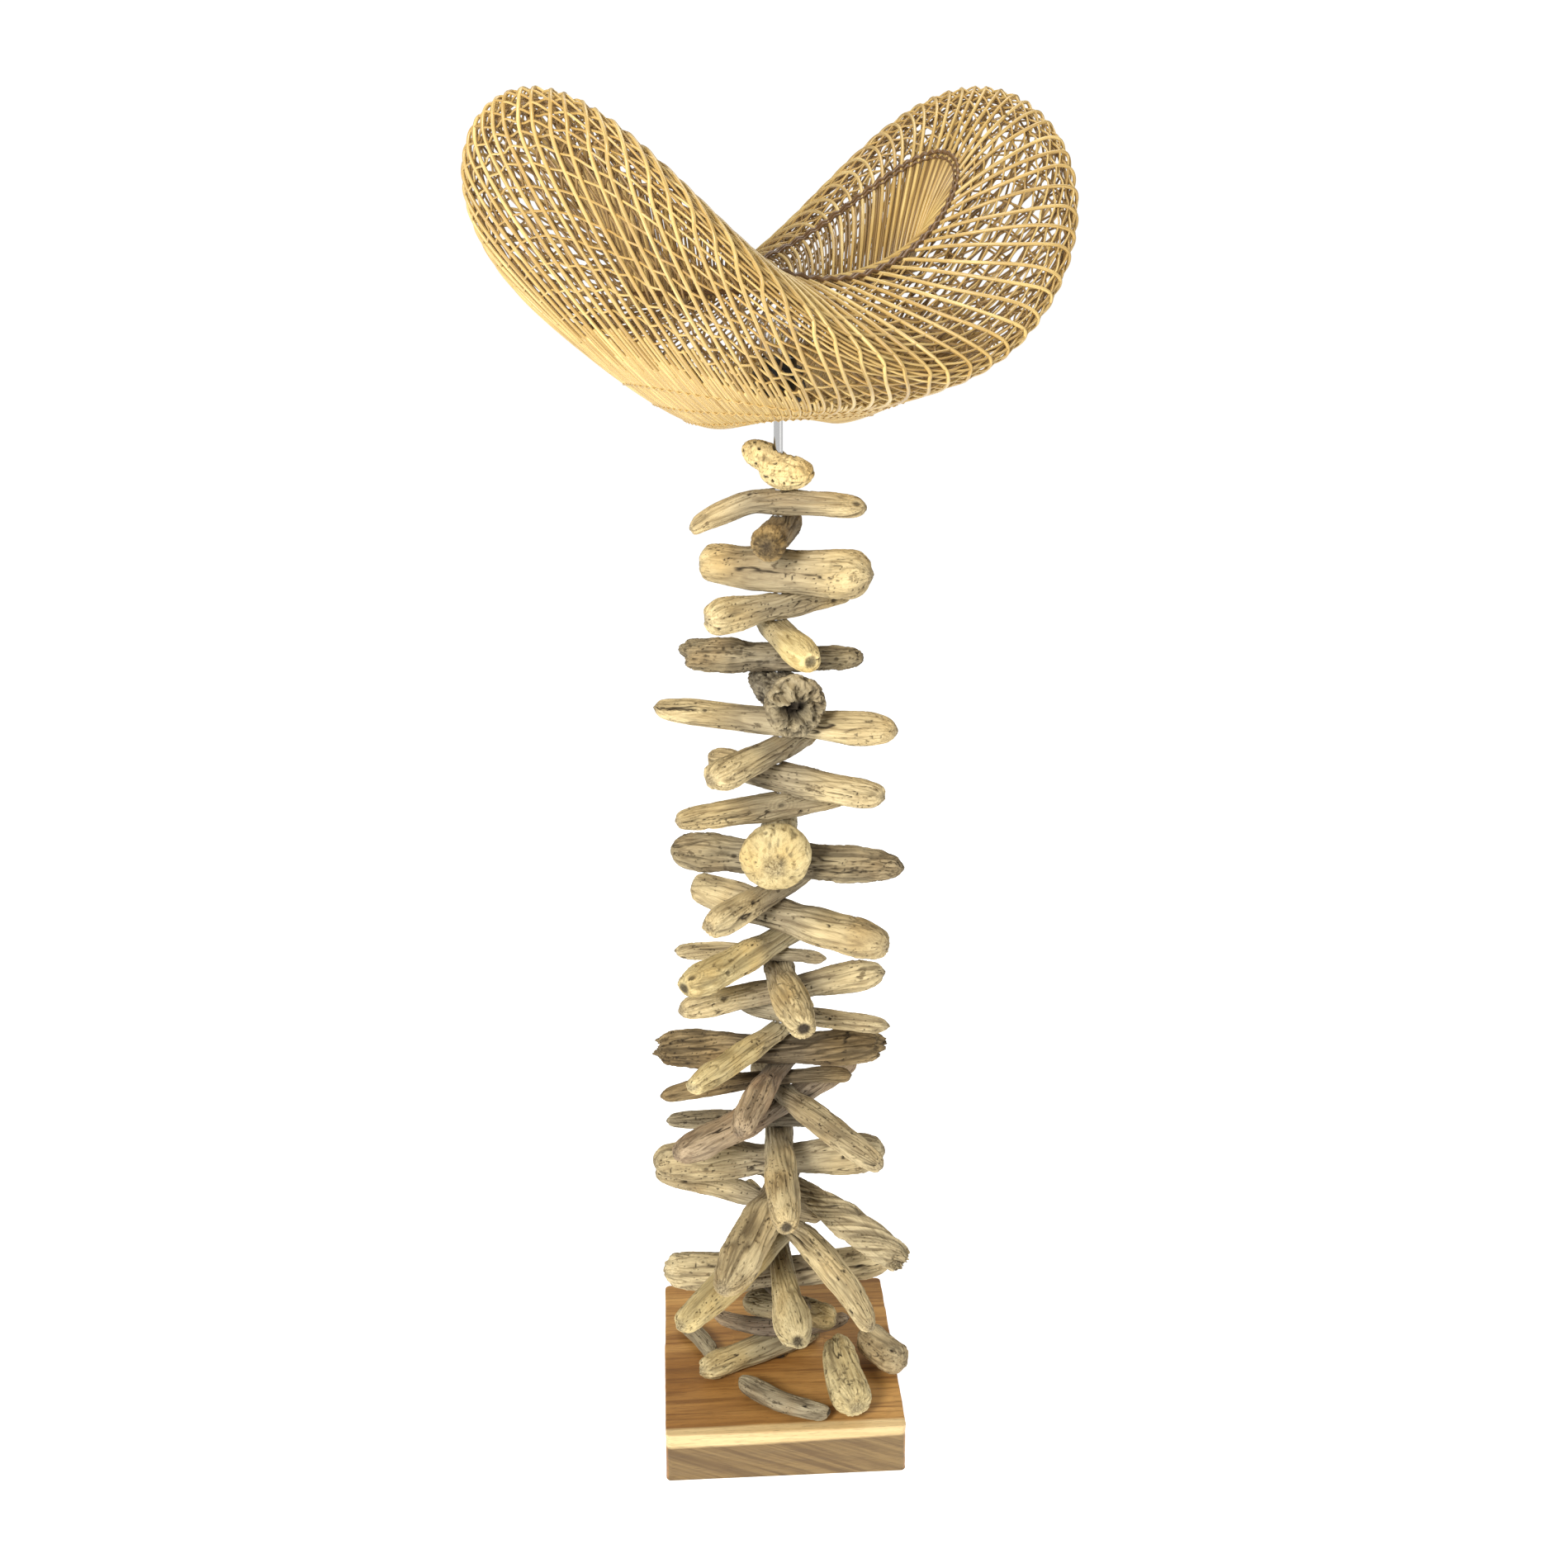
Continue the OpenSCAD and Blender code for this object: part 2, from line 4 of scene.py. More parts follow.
import bpy
import numpy as np
from mathutils import Euler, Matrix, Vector


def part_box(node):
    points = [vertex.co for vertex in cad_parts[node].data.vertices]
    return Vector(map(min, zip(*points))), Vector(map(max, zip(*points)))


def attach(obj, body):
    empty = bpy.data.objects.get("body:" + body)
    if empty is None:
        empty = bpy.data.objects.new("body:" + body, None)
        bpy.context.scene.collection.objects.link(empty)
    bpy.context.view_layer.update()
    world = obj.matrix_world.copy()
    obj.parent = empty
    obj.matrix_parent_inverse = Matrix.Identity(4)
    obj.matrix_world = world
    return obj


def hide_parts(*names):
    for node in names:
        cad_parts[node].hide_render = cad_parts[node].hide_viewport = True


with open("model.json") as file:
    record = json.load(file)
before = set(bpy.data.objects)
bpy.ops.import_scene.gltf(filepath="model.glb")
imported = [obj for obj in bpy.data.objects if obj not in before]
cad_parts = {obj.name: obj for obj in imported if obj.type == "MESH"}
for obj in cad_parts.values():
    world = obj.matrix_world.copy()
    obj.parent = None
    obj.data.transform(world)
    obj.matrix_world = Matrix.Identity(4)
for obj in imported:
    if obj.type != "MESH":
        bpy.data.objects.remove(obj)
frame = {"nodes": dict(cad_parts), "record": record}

NODES = frame["nodes"]
RECORD = frame["record"]
BODY = {n: b for b, group in RECORD["behaviour"]["bodies"].items() for n in group}
SLOT = {s["node"]: s["material_slot"] for s in RECORD["subparts"]}

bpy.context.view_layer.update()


# -------------------- noise

def lattice(i, seed):
    """A value from -1 to 1 for each whole-number point, by an integer hash."""
    n = (i[..., 0] * 374761393 + i[..., 1] * 668265263 + i[..., 2] * 1440662683
         + seed * 97531) & 0xFFFFFFFF
    n = ((n ^ (n >> 13)) * 1274126177) & 0xFFFFFFFF
    n = ((n ^ (n >> 15)) * 2246822519) & 0xFFFFFFFF
    return ((n ^ (n >> 16)) & 0xFFFF) / 32767.5 - 1


def noise(p, seed=0):
    """Smooth value noise from -1 to 1."""
    i = np.floor(p).astype(np.int64)
    f = p - i
    u = f * f * f * (f * (f * 6 - 15) + 10)
    total = 0
    for dx in (0, 1):
        for dy in (0, 1):
            for dz in (0, 1):
                w = ((u[..., 0] if dx else 1 - u[..., 0])
                     * (u[..., 1] if dy else 1 - u[..., 1])
                     * (u[..., 2] if dz else 1 - u[..., 2]))
                total = total + w * lattice(i + np.array([dx, dy, dz]), seed)
    return total


def octaves(p, seed, count=3):
    """Noise with finer and weaker copies of itself on top."""
    total, size = 0, 1.0
    for k in range(count):
        total = total + size * noise(p * 2.03 ** k, seed + 17 * k)
        size *= 0.5
    return total


def smooth_step(a, b, x):
    """Rises from 0 at a to 1 at b, and stays level beyond them."""
    k = np.clip((x - a) / (b - a), 0, 1)
    return k * k * (3 - 2 * k)


# -------------------- mesh pieces

def piece(name, verts, faces, node, material, attrs=None, replace=True, caps=None):
    """Adds a mesh that rides with the CAD node's body, in the given material; with replace it hides
    the node.
    """
    me = bpy.data.meshes.new(name)
    verts = np.asarray(verts, dtype=np.float64)
    faces = np.asarray(faces, dtype=np.int32)
    m = faces.shape[1]
    me.vertices.add(len(verts))
    me.vertices.foreach_set("co", verts.ravel().astype(np.float32))
    me.loops.add(faces.size)
    me.loops.foreach_set("vertex_index", faces.ravel())
    me.polygons.add(len(faces))
    me.polygons.foreach_set("loop_start", np.arange(0, faces.size, m, dtype=np.int32))
    me.update(calc_edges=True)
    me.validate()
    for key, values in (attrs or {}).items():
        values = np.asarray(values, dtype=np.float32)
        kind = "FLOAT_VECTOR" if values.ndim == 2 else "FLOAT"
        a = me.attributes.new(key, kind, "POINT")
        a.data.foreach_set("vector" if values.ndim == 2 else "value", values.ravel())
    if caps is not None:
        add_triangles(me, caps)
    me.polygons.foreach_set("use_smooth", np.full(len(me.polygons), True))
    me.materials.append(material)
    o = bpy.data.objects.new(name, me)
    bpy.context.scene.collection.objects.link(o)
    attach(o, BODY[node])
    if replace:
        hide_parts(node)
    return o


def add_triangles(me, tris):
    """Closes a mesh of quads with triangles between points it already has."""
    old = len(me.polygons)
    loops = len(me.loops)
    me.loops.add(tris.size)
    me.polygons.add(len(tris))
    ix = np.zeros(len(me.loops), np.int32)
    me.loops.foreach_get("vertex_index", ix)
    ix[loops:] = tris.ravel()
    me.loops.foreach_set("vertex_index", ix)
    start = np.zeros(len(me.polygons), np.int32)
    me.polygons.foreach_get("loop_start", start)
    start[old:] = loops + 3 * np.arange(len(tris))
    me.polygons.foreach_set("loop_start", start)
    me.update(calc_edges=True)
    me.validate()


def triangles(node):
    """The CAD node's triangles, as an array of corners in metres."""
    me = NODES[node].data
    me.calc_loop_triangles()
    co = np.zeros(len(me.vertices) * 3, np.float32)
    me.vertices.foreach_get("co", co)
    ix = np.zeros(len(me.loop_triangles) * 3, np.int32)
    me.loop_triangles.foreach_get("vertices", ix)
    return co.reshape(-1, 3)[ix.reshape(-1, 3)].astype(np.float64)


def grid_faces(rows, cols, offset=0):
    """Quads between rings of points, each ring closed on itself."""
    r, c = np.meshgrid(np.arange(rows - 1), np.arange(cols), indexing="ij")
    n = (c + 1) % cols
    quads = [r * cols + c, r * cols + n, (r + 1) * cols + n, (r + 1) * cols + c]
    return np.stack(quads, -1).reshape(-1, 4) + offset


# -------------------- driftwood shapes
# Lengths in this section are in millimetres.

ROW_STEP = 1.35  # between two rings of points along a piece
ROWS_LEAST = 150  # even the shortest piece has this many rings
COLS = 128
EVEN, CROWD = 0.82, 0.18  # most rings are evenly spaced, a share crowds at the ends
END_GAP = 0.15  # from the end of the CAD piece to the first ring
HOLE_REACH = 8  # slices this close to the tube would cut its hole
ALONG = 4  # smoothing along the piece, in rings
ROUND = COLS / 26  # smoothing round the piece, in points
TIP = 7  # within this of an end the skin never leaves the CAD outline
STRETCH = 1.5  # a knot is this much longer than wide
KNOT_RING = 3.2  # between two growth rings round a knot
SKIN = 0.55  # the skin starts this far inside the CAD outline
DEEPEST, HIGHEST = -4.5, 1.1  # limits of what carving takes away and adds
THINNEST = 0.35  # least radius of the skin
FULL_CARVE = 12  # pieces thinner than this radius are carved less deeply
FRONT = np.array([0.02, -1.0])  # a piece's second end is the one nearer the viewer
BACKWARD = ("log_sawn_foot", "branch_left_low")  # except on these two


def slice_radii(tri, x, angles):
    """Centre and outer radii, one for each angle, of the solid's section at x."""
    d = tri[:, :, 0] - x
    hit = (d.min(1) < 0) & (d.max(1) >= 0)
    t, d = tri[hit], d[hit]
    if len(t) < 4:
        return None, None
    ends = []
    for a, b in ((0, 1), (1, 2), (2, 0)):
        cross = (d[:, a] < 0) != (d[:, b] < 0)
        k = np.where(cross, d[:, a] / np.where(cross, d[:, a] - d[:, b], 1), 0)
        p = t[:, a, 1:] + (t[:, b, 1:] - t[:, a, 1:]) * k[:, None]
        ends.append(np.where(cross[:, None], p, np.nan))
    e = np.stack(ends, 1)
    order = np.argsort(np.isnan(e[:, :, 0]), axis=1, kind="stable")[:, :2]
    seg = np.take_along_axis(e, order[:, :, None], axis=1)
    c = (np.nanmin(seg, (0, 1)) + np.nanmax(seg, (0, 1))) / 2
    # where the ray at each angle meets each edge of the section
    a, b = seg[:, 0] - c, seg[:, 1] - c
    u = np.stack([np.cos(angles), np.sin(angles)], -1)
    ca = u[None, :, 0] * a[:, None, 1] - u[None, :, 1] * a[:, None, 0]
    cb = u[None, :, 0] * b[:, None, 1] - u[None, :, 1] * b[:, None, 0]
    den = ca - cb
    meets = np.abs(den) > 1e-12
    k = np.where(meets, ca / np.where(meets, den, 1), -1)
    r = (a[:, None, 0] + (b - a)[:, None, 0] * k) * u[None, :, 0] \
        + (a[:, None, 1] + (b - a)[:, None, 1] * k) * u[None, :, 1]
    ok = (k >= -1e-9) & (k <= 1 + 1e-9) & (r > 0)
    r = np.where(ok, r, -1).max(0)
    return c, np.where(r > 0, r, np.nan)


def blur(a, sigma, axis=0):
    """Gaussian smoothing along a piece (axis 0) or round it (axis 1)."""
    n = int(math.ceil(2.5 * sigma))
    w = np.exp(-0.5 * (np.arange(-n, n + 1) / sigma) ** 2)
    w /= w.sum()
    pad = [(0, 0)] * a.ndim
    pad[axis] = (n, n)
    b = np.pad(a, pad, mode="wrap" if axis == 1 else "edge")
    out = 0
    for i, k in enumerate(w):
        out = out + k * np.take(b, range(i, i + a.shape[axis]), axis=axis)
    return out


def fill_gaps(v, x):
    """Fills missing values from their neighbours along x."""
    ok = ~np.isnan(v)
    return v if ok.all() or not ok.any() else np.interp(x, x[ok], v[ok])


class Driftwood:
    """A worn piece of wood that follows the CAD node's own shape.

    It lies along x, wrapped in rings of points. s is a point's place along x, a its angle,
    rad its distance from the middle line, near its distance from either end, bump how far it
    stands out, and dark how black it is: the real black of knots and old sawn ends, and
    painted shade in its cracks, holes and hollows.
    """

    def __init__(self, node, seed, style):
        self.node, self.seed, self.style = node, seed, style
        self.rng = np.random.RandomState(seed)
        self.threaded = not node.startswith("foot")
        self.read_skin(self.laid_along_x())
        self.round_ends()
        self.arc = self.a * self.girth[:, None]
        self.dark = np.zeros(self.rad.shape)
        self.bump = np.zeros(self.rad.shape)
        for _ in range(style["knots"]):
            self.add_knot()
        self.lay_grain()
        self.add_relief()
        self.add_cracks()
        self.add_pits()
        # keep to the outline at the two ends, where the skin closes
        close = np.clip(self.ends / 4, 0, 1)[:, None] * 0.8 + 0.2
        self.inward = np.clip(self.bump, DEEPEST, HIGHEST) - SKIN
        carve = self.inward * close * np.clip(self.rad / FULL_CARVE, 0.15, 1)
        self.r = np.maximum(self.rad + carve, THINNEST)
        self.x = self.s.copy()
        self.break_ends()
        self.hollow_ends()
        self.darken_ends()

    def laid_along_x(self):
        """The CAD piece's triangles, turned to lie along x, with the tube at 0."""
        tri = triangles(self.node) * 1000.0
        flat = tri[:, :, :2].reshape(-1, 2)
        self.mid = np.zeros(2) if self.threaded else (flat.max(0) + flat.min(0)) / 2
        axis = np.linalg.eigh(np.cov((flat - flat.mean(0)).T))[1][:, 1]
        if (axis @ FRONT < 0) != (self.node in BACKWARD):
            axis = -axis
        self.turn = np.array([[axis[0], axis[1]], [-axis[1], axis[0]]])
        self.mid_z = (tri[:, :, 2].max() + tri[:, :, 2].min()) / 2
        laid = tri.copy()
        laid[:, :, :2] = (tri[:, :, :2] - self.mid) @ self.turn.T
        laid[:, :, 2] -= self.mid_z
        return laid

    def read_skin(self, solid):
        """Cuts the solid into slices, and measures and smooths them."""
        self.x0, self.x1 = solid[:, :, 0].min(), solid[:, :, 0].max()
        length = self.x1 - self.x0
        rows = max(ROWS_LEAST, int(length / ROW_STEP))
        ang = 2 * np.pi * np.arange(COLS) / COLS
        k = np.linspace(0, 1, rows)
        k = EVEN * k + CROWD * (1 - np.cos(np.pi * k)) / 2
        xs = self.x0 + END_GAP + (length - 2 * END_GAP) * k
        cen = np.full((rows, 2), np.nan)
        rad = np.full((rows, COLS), np.nan)
        for i, x in enumerate(xs):
            if self.threaded and abs(x) < HOLE_REACH:
                continue
            c, r = slice_radii(solid, x, ang)
            if c is not None:
                cen[i], rad[i] = c, r
        for j in range(2):
            cen[:, j] = fill_gaps(cen[:, j], xs)
        for j in range(COLS):
            rad[:, j] = fill_gaps(rad[:, j], xs)
        rad = np.nan_to_num(rad, nan=2.0)
        self.rows, self.xs, self.cen = rows, xs, blur(cen, ALONG)
        self.near = (xs - self.x0, self.x1 - xs)
        self.ends = np.minimum(*self.near)
        evened = blur(rad, ROUND, 1)
        soft = blur(evened, ALONG)
        self.rad = np.where((self.ends > TIP)[:, None], soft, np.minimum(soft, evened))
        self.s = np.repeat(xs[:, None], COLS, 1)
        self.a = np.repeat(ang[None, :], rows, 0)

    def round_ends(self):
        """Lets the radius fall away over the worn last few millimetres."""
        self.mean_r = self.rad[self.rows // 2].mean()
        for near, worn in zip(self.near, self.style["worn"]):
            fall = np.sqrt(np.clip(1 - (1 - np.clip(near / worn, 0, 1)) ** 2.2, 0, 1))
            self.rad = self.rad * (0.10 + 0.90 * fall)[:, None]
        self.girth = blur(self.rad.mean(1), 6)

    def blacken(self, amount):
        self.dark = np.maximum(self.dark, amount)

    def add_knot(self):
        """One knot with its growth rings and dark core. The grain bends round it."""
        rng = self.rng
        ks = rng.uniform(self.x0 + 12, self.x1 - 12)
        ka = rng.uniform(0, 2 * np.pi)
        size = rng.uniform(5, 10) * self.style["knot_size"]
        da = (self.a - ka + np.pi) % (2 * np.pi) - np.pi
        dv = da * self.girth[:, None]
        ds = (self.s - ks) / STRETCH
        d = np.sqrt(dv ** 2 + ds ** 2)
        near = np.exp(-(d / (1.6 * size)) ** 2)
        rings = np.cos(2 * np.pi * d / KNOT_RING)
        self.arc = self.arc + np.sign(dv) * size * 0.55 * near * (1 - np.exp(-np.abs(dv) / 3))
        self.bump += 1.5 * np.exp(-(d / size) ** 2) + 0.35 * rings * near
        core = smooth_step(0.42 * size, 0.16 * size, d)
        deep = rng.uniform(0.8, 3.2)
        self.bump -= deep * core
        self.blacken(core * rng.uniform(0.4, 1.0))
        self.blacken(0.35 * near * (0.5 + 0.5 * rings))

    def lay_grain(self):
        """Where each point lies in the pattern of the wood.

        Towards an end the pattern shrinks with the radius, so it runs over the end and not
        into its middle.
        """
        self.grain_angle = self.arc / self.girth[:, None]
        cx, cy = np.cos(self.grain_angle), np.sin(self.grain_angle)
        self.wide = blur(self.rad.mean(1), 22)[:, None]
        self.shrink = np.clip(self.rad / self.wide, 0.05, 1.3)
        self.cx, self.cy = cx, cy
        self.px, self.py = self.rad * cx, self.rad * cy
        self.phase = self.rng.uniform(-50, 50, 3)

    def field(self, per_mm, turns, key):
        """Noise with its own change rates along the piece and round it."""
        angle = self.grain_angle + self.style["twist"] * self.s
        px = np.cos(angle) * turns * self.shrink
        py = np.sin(angle) * turns * self.shrink
        p = self.phase
        at = np.stack([self.s * per_mm + p[0], px + p[1], py + p[2]], -1)
        return noise(at, self.seed * 31 + key)

    def spots(self, per_mm):
        """Places for noise that is as fine along the piece as across it."""
        return np.stack([self.s * per_mm, self.px * per_mm, self.py * per_mm], -1)

    def add_relief(self):
        """Swellings, worn flutes along the grain, and the grain itself."""
        rough = self.style["rough"]
        # grooves along the grain fade out where a thick end rounds off
        self.body = smooth_step(0.0, self.style["calm"], self.ends)[:, None]
        self.bump += 1.3 * self.field(0.030, 1.3, 1)
        flute = self.field(0.012, 3.2, 2)
        self.bump -= self.style["flute"] * np.exp(-(flute / 0.16) ** 2) * self.body
        self.bump -= 0.8 * rough * np.abs(self.field(0.02, 7.5, 3)) * self.body
        self.bump += 0.34 * rough * self.field(0.035, 15, 4)
        self.bump += 0.20 * rough * self.field(0.06, 30, 5)

    def add_cracks(self):
        """Drying cracks along the grain."""
        line = np.abs(self.field(0.007, 2.6, 6) + 0.05 * self.field(0.05, 9, 7))
        where = smooth_step(0.10, 0.45, self.field(0.018, 1.4, 8) + self.style["cracks"])
        crack = smooth_step(0.045, 0.0, line) * where * (0.15 + 0.85 * self.body)
        self.bump -= 2.4 * crack
        # the crack is painted black: painted shade inside it
        self.blacken(crack)

    def add_pits(self):
        """Worn hollows on pitted pieces, and a few small worm holes on all."""
        pit = self.style["pits"]
        if pit:
            holes = smooth_step(0.52, 0.80, noise(self.spots(0.20), self.seed + 5))
            self.bump -= 3.2 * pit * holes
            # the hollows are painted dark: painted shade inside them
            self.blacken(holes * min(1, pit))
            self.bump += 1.6 * pit * octaves(self.spots(0.10), self.seed + 9)
        worm = smooth_step(0.66, 0.78, noise(self.spots(0.42), self.seed + 71))
        worm = worm * smooth_step(0.0, 0.5, self.field(0.02, 1.0, 9) + 0.2)
        self.bump -= 1.2 * worm
        # the worm holes are painted dark: painted shade inside them
        self.blacken(0.9 * worm)

    def push_end(self, end, back):
        """Moves the skin from one end towards the middle."""
        self.x = self.x + back if end == 0 else self.x - back

    def break_ends(self):
        """Broken or sawn ends: pushes the skin back unevenly or at a slant."""
        y, z = self.r * np.cos(self.a), self.r * np.sin(self.a)
        for end in (0, 1):
            slant, jag = self.style["slant"][end], self.style["jag"][end]
            coarse = np.stack([y * 0.13, z * 0.13, 0 * self.s + 3.1], -1)
            fine = np.stack([y * 0.5, z * 0.5, 0 * self.s + 7.7], -1)
            back = (jag * (0.6 + noise(coarse, self.seed + 40 + end))
                    + 0.5 * jag * (1 + noise(fine, self.seed + 50 + end))
                    + slant * (0.5 + 0.5 * y / max(8, self.mean_r)))
            near = self.near[end][:, None]
            self.push_end(end, np.clip(back, 0, 26) * np.exp(-(near / 14) ** 2))

    def hollow_ends(self):
        """Ends with a dark hollow in the middle."""
        for end, depth in enumerate(self.style["hollow"]):
            if not depth:
                continue
            side = (self.xs < 0 if end == 0 else self.xs > 0)[:, None]
            mouth = max(4, np.percentile(self.r[side[:, 0]], 60))
            push = depth * smooth_step(0.60, 0.2, self.r / mouth) \
                * side * (self.ends < 14)[:, None]
            self.push_end(end, push)
            # the hollow is painted dark: painted shade inside it
            self.blacken(smooth_step(1, 5, push))

    def darken_ends(self):
        """Ends that were sawn long ago and have gone dark."""
        for end, amount in enumerate(self.style["dark_end"]):
            if not amount:
                continue
            face = smooth_step(9, 5, self.near[end][:, None])
            at = np.stack([self.px * 0.5, self.py * 0.5, 0 * self.s], -1)
            self.blacken(amount * face * (0.72 + 0.28 * noise(at, self.seed + 77)))

    def build(self, material):
        """Makes the mesh, with what the material needs at each point.

        The last two points, and the last two values of each list, are the tips.
        """
        y = self.cen[:, 0][:, None] + self.r * np.cos(self.a)
        z = self.cen[:, 1][:, None] + self.r * np.sin(self.a)
        pts = np.stack([self.x, y, z], -1).reshape(-1, 3)
        tips = np.array([[self.x[i].mean(), *self.cen[i]] for i in (0, -1)])
        verts = np.concatenate([pts, tips])
        world = verts.copy()
        world[:, :2] = verts[:, :2] @ self.turn + self.mid
        world[:, 2] += self.mid_z

        def values(skin, first, last):
            return np.concatenate([skin.ravel(), [first, last]])

        pattern = self.wide * self.shrink
        grain = np.stack([values(self.s, self.x0, self.x1), values(pattern * self.cx, 0, 0),
                          values(pattern * self.cy, 0, 0)], -1) / 1000 + self.phase / 50
        cap = smooth_step(0.80, 0.25, self.r / np.maximum(self.girth.max() * 0.62, 1)) \
            * (self.ends < 9)[:, None]
        # painted shade: the wood is darker near the tube, where the pieces shade one another
        tone = np.full(len(world), self.style["tone"])
        if self.threaded:
            tone -= 0.62 * smooth_step(78, 24, np.hypot(world[:, 0], world[:, 1]))
        quads = grid_faces(self.rows, COLS)[:, ::-1]
        j = np.arange(COLS)
        n = (j + 1) % COLS
        last_ring = (self.rows - 1) * COLS
        tip = self.rows * COLS
        caps = np.concatenate([np.stack([np.full(COLS, tip), j, n], -1),
                               np.stack([np.full(COLS, tip + 1), last_ring + n, last_ring + j], -1)])
        # carved-in places get a darkening value: painted shade in the hollows
        piece("wood_" + self.node, world / 1000, quads, self.node, material,
              {"grain": grain, "cavity_shade": values(np.clip(-self.inward / 3.2, 0, 1), 0.3, 0.3),
               "dark": values(self.dark, 0.35, 0.35), "endgrain": values(cap, 1, 1), "tone": tone},
              caps=caps)


# -------------------- material nodes

def new_material(name):
    m = bpy.data.materials.new(name)
    m.use_nodes = True
    nt = m.node_tree
    for n in list(nt.nodes):
        nt.nodes.remove(n)
    out = nt.nodes.new("ShaderNodeOutputMaterial")
    bsdf = nt.nodes.new("ShaderNodeBsdfPrincipled")
    nt.links.new(bsdf.outputs[0], out.inputs[0])
    return m, nt, bsdf


def feed(nt, socket, value):
    """Sets a socket to a number or a colour, or links it to another socket."""
    if isinstance(value, (int, float)):
        socket.default_value = value
    elif isinstance(value, tuple):
        socket.default_value = (*value, 1)
    else:
        nt.links.new(value, socket)


def attribute(nt, name, output="Fac"):
    n = nt.nodes.new("ShaderNodeAttribute")
    n.attribute_name = name
    return n.outputs[output]


def noise_node(nt, vector, scale, detail=4, rough=0.55, distort=0.0):
    """Noise at a vector whose three axes are scaled one by one."""
    place = nt.nodes.new("ShaderNodeMapping")
    place.vector_type = "POINT"
    place.inputs["Scale"].default_value = scale
    nt.links.new(vector, place.inputs["Vector"])
    n = nt.nodes.new("ShaderNodeTexNoise")
    n.inputs["Scale"].default_value = 1
    n.inputs["Detail"].default_value = detail
    n.inputs["Roughness"].default_value = rough
    n.inputs["Distortion"].default_value = distort
    nt.links.new(place.outputs[0], n.inputs["Vector"])
    return n.outputs["Fac"]


def fade(nt, value, start, first, end, last):
    """A grey that goes from first, up to value start, to last, from value end."""
    n = nt.nodes.new("ShaderNodeValToRGB")
    for stop, at, v in zip(n.color_ramp.elements, (start, end), (first, last)):
        stop.position = at
        stop.color = (v, v, v, 1)
    nt.links.new(value, n.inputs[0])
    return n.outputs[0]


def mix_colour(nt, fac, a, b):
    n = nt.nodes.new("ShaderNodeMix")
    n.data_type = "RGBA"
    n.blend_type = "MIX"
    colours = [s for s in n.inputs if s.type == "RGBA"]
    for socket, value in ((n.inputs[0], fac), (colours[0], a), (colours[1], b)):
        feed(nt, socket, value)
    return [s for s in n.outputs if s.type == "RGBA"][0]


def maths(nt, kind, a, b):
    n = nt.nodes.new("ShaderNodeMath")
    n.operation = kind
    feed(nt, n.inputs[0], a)
    feed(nt, n.inputs[1], b)
    return n.outputs[0]


def scaled(nt, value, factor, shift=0.0):
    """value * factor + shift"""
    out = maths(nt, "MULTIPLY", value, factor)
    return maths(nt, "ADD", out, shift) if shift else out


def bump_node(nt, bsdf, height, strength, distance):
    n = nt.nodes.new("ShaderNodeBump")
    n.inputs["Strength"].default_value = strength
    n.inputs["Distance"].default_value = distance
    nt.links.new(height, n.inputs["Height"])
    nt.links.new(n.outputs[0], bsdf.inputs["Normal"])


def shade_of(colour, share):
    return tuple(share * c for c in colour)


# -------------------- materials

# the black of knot cores and old sawn ends, also used as painted shade in cracks, holes and hollows
KNOT_AND_SHADE_BLACK = (0.024, 0.016, 0.010)


def driftwood_material(name, light, mid, deep, accent):
    """Weathered wood, coloured by the grain, cave, dark, endgrain and tone of Driftwood."""
    m, nt, bsdf = new_material(name)
    g = attribute(nt, "grain", "Vector")
    broad = noise_node(nt, g, (9, 26, 26), 3, 0.5, 0.4)
    streak = noise_node(nt, g, (14, 190, 190), 4, 0.6, 0.3)
    fine = noise_node(nt, g, (45, 900, 900), 3, 0.6)
    patch = noise_node(nt, g, (16, 16, 16), 2, 0.5)
    spots = noise_node(nt, g, (70, 130, 130), 3, 0.6)
    base = mix_colour(nt, fade(nt, broad, 0.36, 0, 0.60, 1), mid, light)
    base = mix_colour(nt, fade(nt, patch, 0.52, 0, 0.72, 0.6), base, accent)
    base = mix_colour(nt, fade(nt, streak, 0.34, 0.55, 0.50, 0), base, deep)
    base = mix_colour(nt, fade(nt, fine, 0.34, 0.32, 0.50, 0), base, deep)
    base = mix_colour(nt, fade(nt, spots, 0.30, 0.75, 0.38, 0), base, shade_of(deep, 0.6))
    # tone sets each piece's lightness and colour strength; near the tube it also holds painted shade
    tone = attribute(nt, "tone")
    tone_and_shade = nt.nodes.new("ShaderNodeHueSaturation")
    nt.links.new(base, tone_and_shade.inputs["Color"])
    nt.links.new(scaled(nt, tone, 0.55, 0.70), tone_and_shade.inputs["Value"])
    nt.links.new(scaled(nt, tone, 0.30, 0.98), tone_and_shade.inputs["Saturation"])
    # painted shade: carved-in places are mixed towards a dark brown
    cavity_shade = fade(nt, attribute(nt, "cavity_shade"), 0.15, 0, 0.95, 0.62)
    base = mix_colour(nt, cavity_shade, tone_and_shade.outputs[0], shade_of(deep, 0.42))
    rings = noise_node(nt, g, (60, 420, 420), 3, 0.6)
    end_grain = mix_colour(nt, fade(nt, rings, 0.40, 0, 0.60, 1),
                           shade_of(deep, 0.35), shade_of(mid, 0.72))
    base = mix_colour(nt, scaled(nt, attribute(nt, "endgrain"), 0.75), base, end_grain)
    # knot cores and old sawn ends go towards black, and so do cracks, holes and hollows as painted
    # shade
    base = mix_colour(nt, scaled(nt, attribute(nt, "dark"), 0.93), base, KNOT_AND_SHADE_BLACK)
    nt.links.new(base, bsdf.inputs["Base Color"])
    bsdf.inputs["Roughness"].default_value = 0.80
    bsdf.inputs["Specular IOR Level"].default_value = 0.28
    height = maths(nt, "ADD", streak, scaled(nt, fine, 0.6))
    bump_node(nt, bsdf, height, 0.65, 0.0018)
    return m


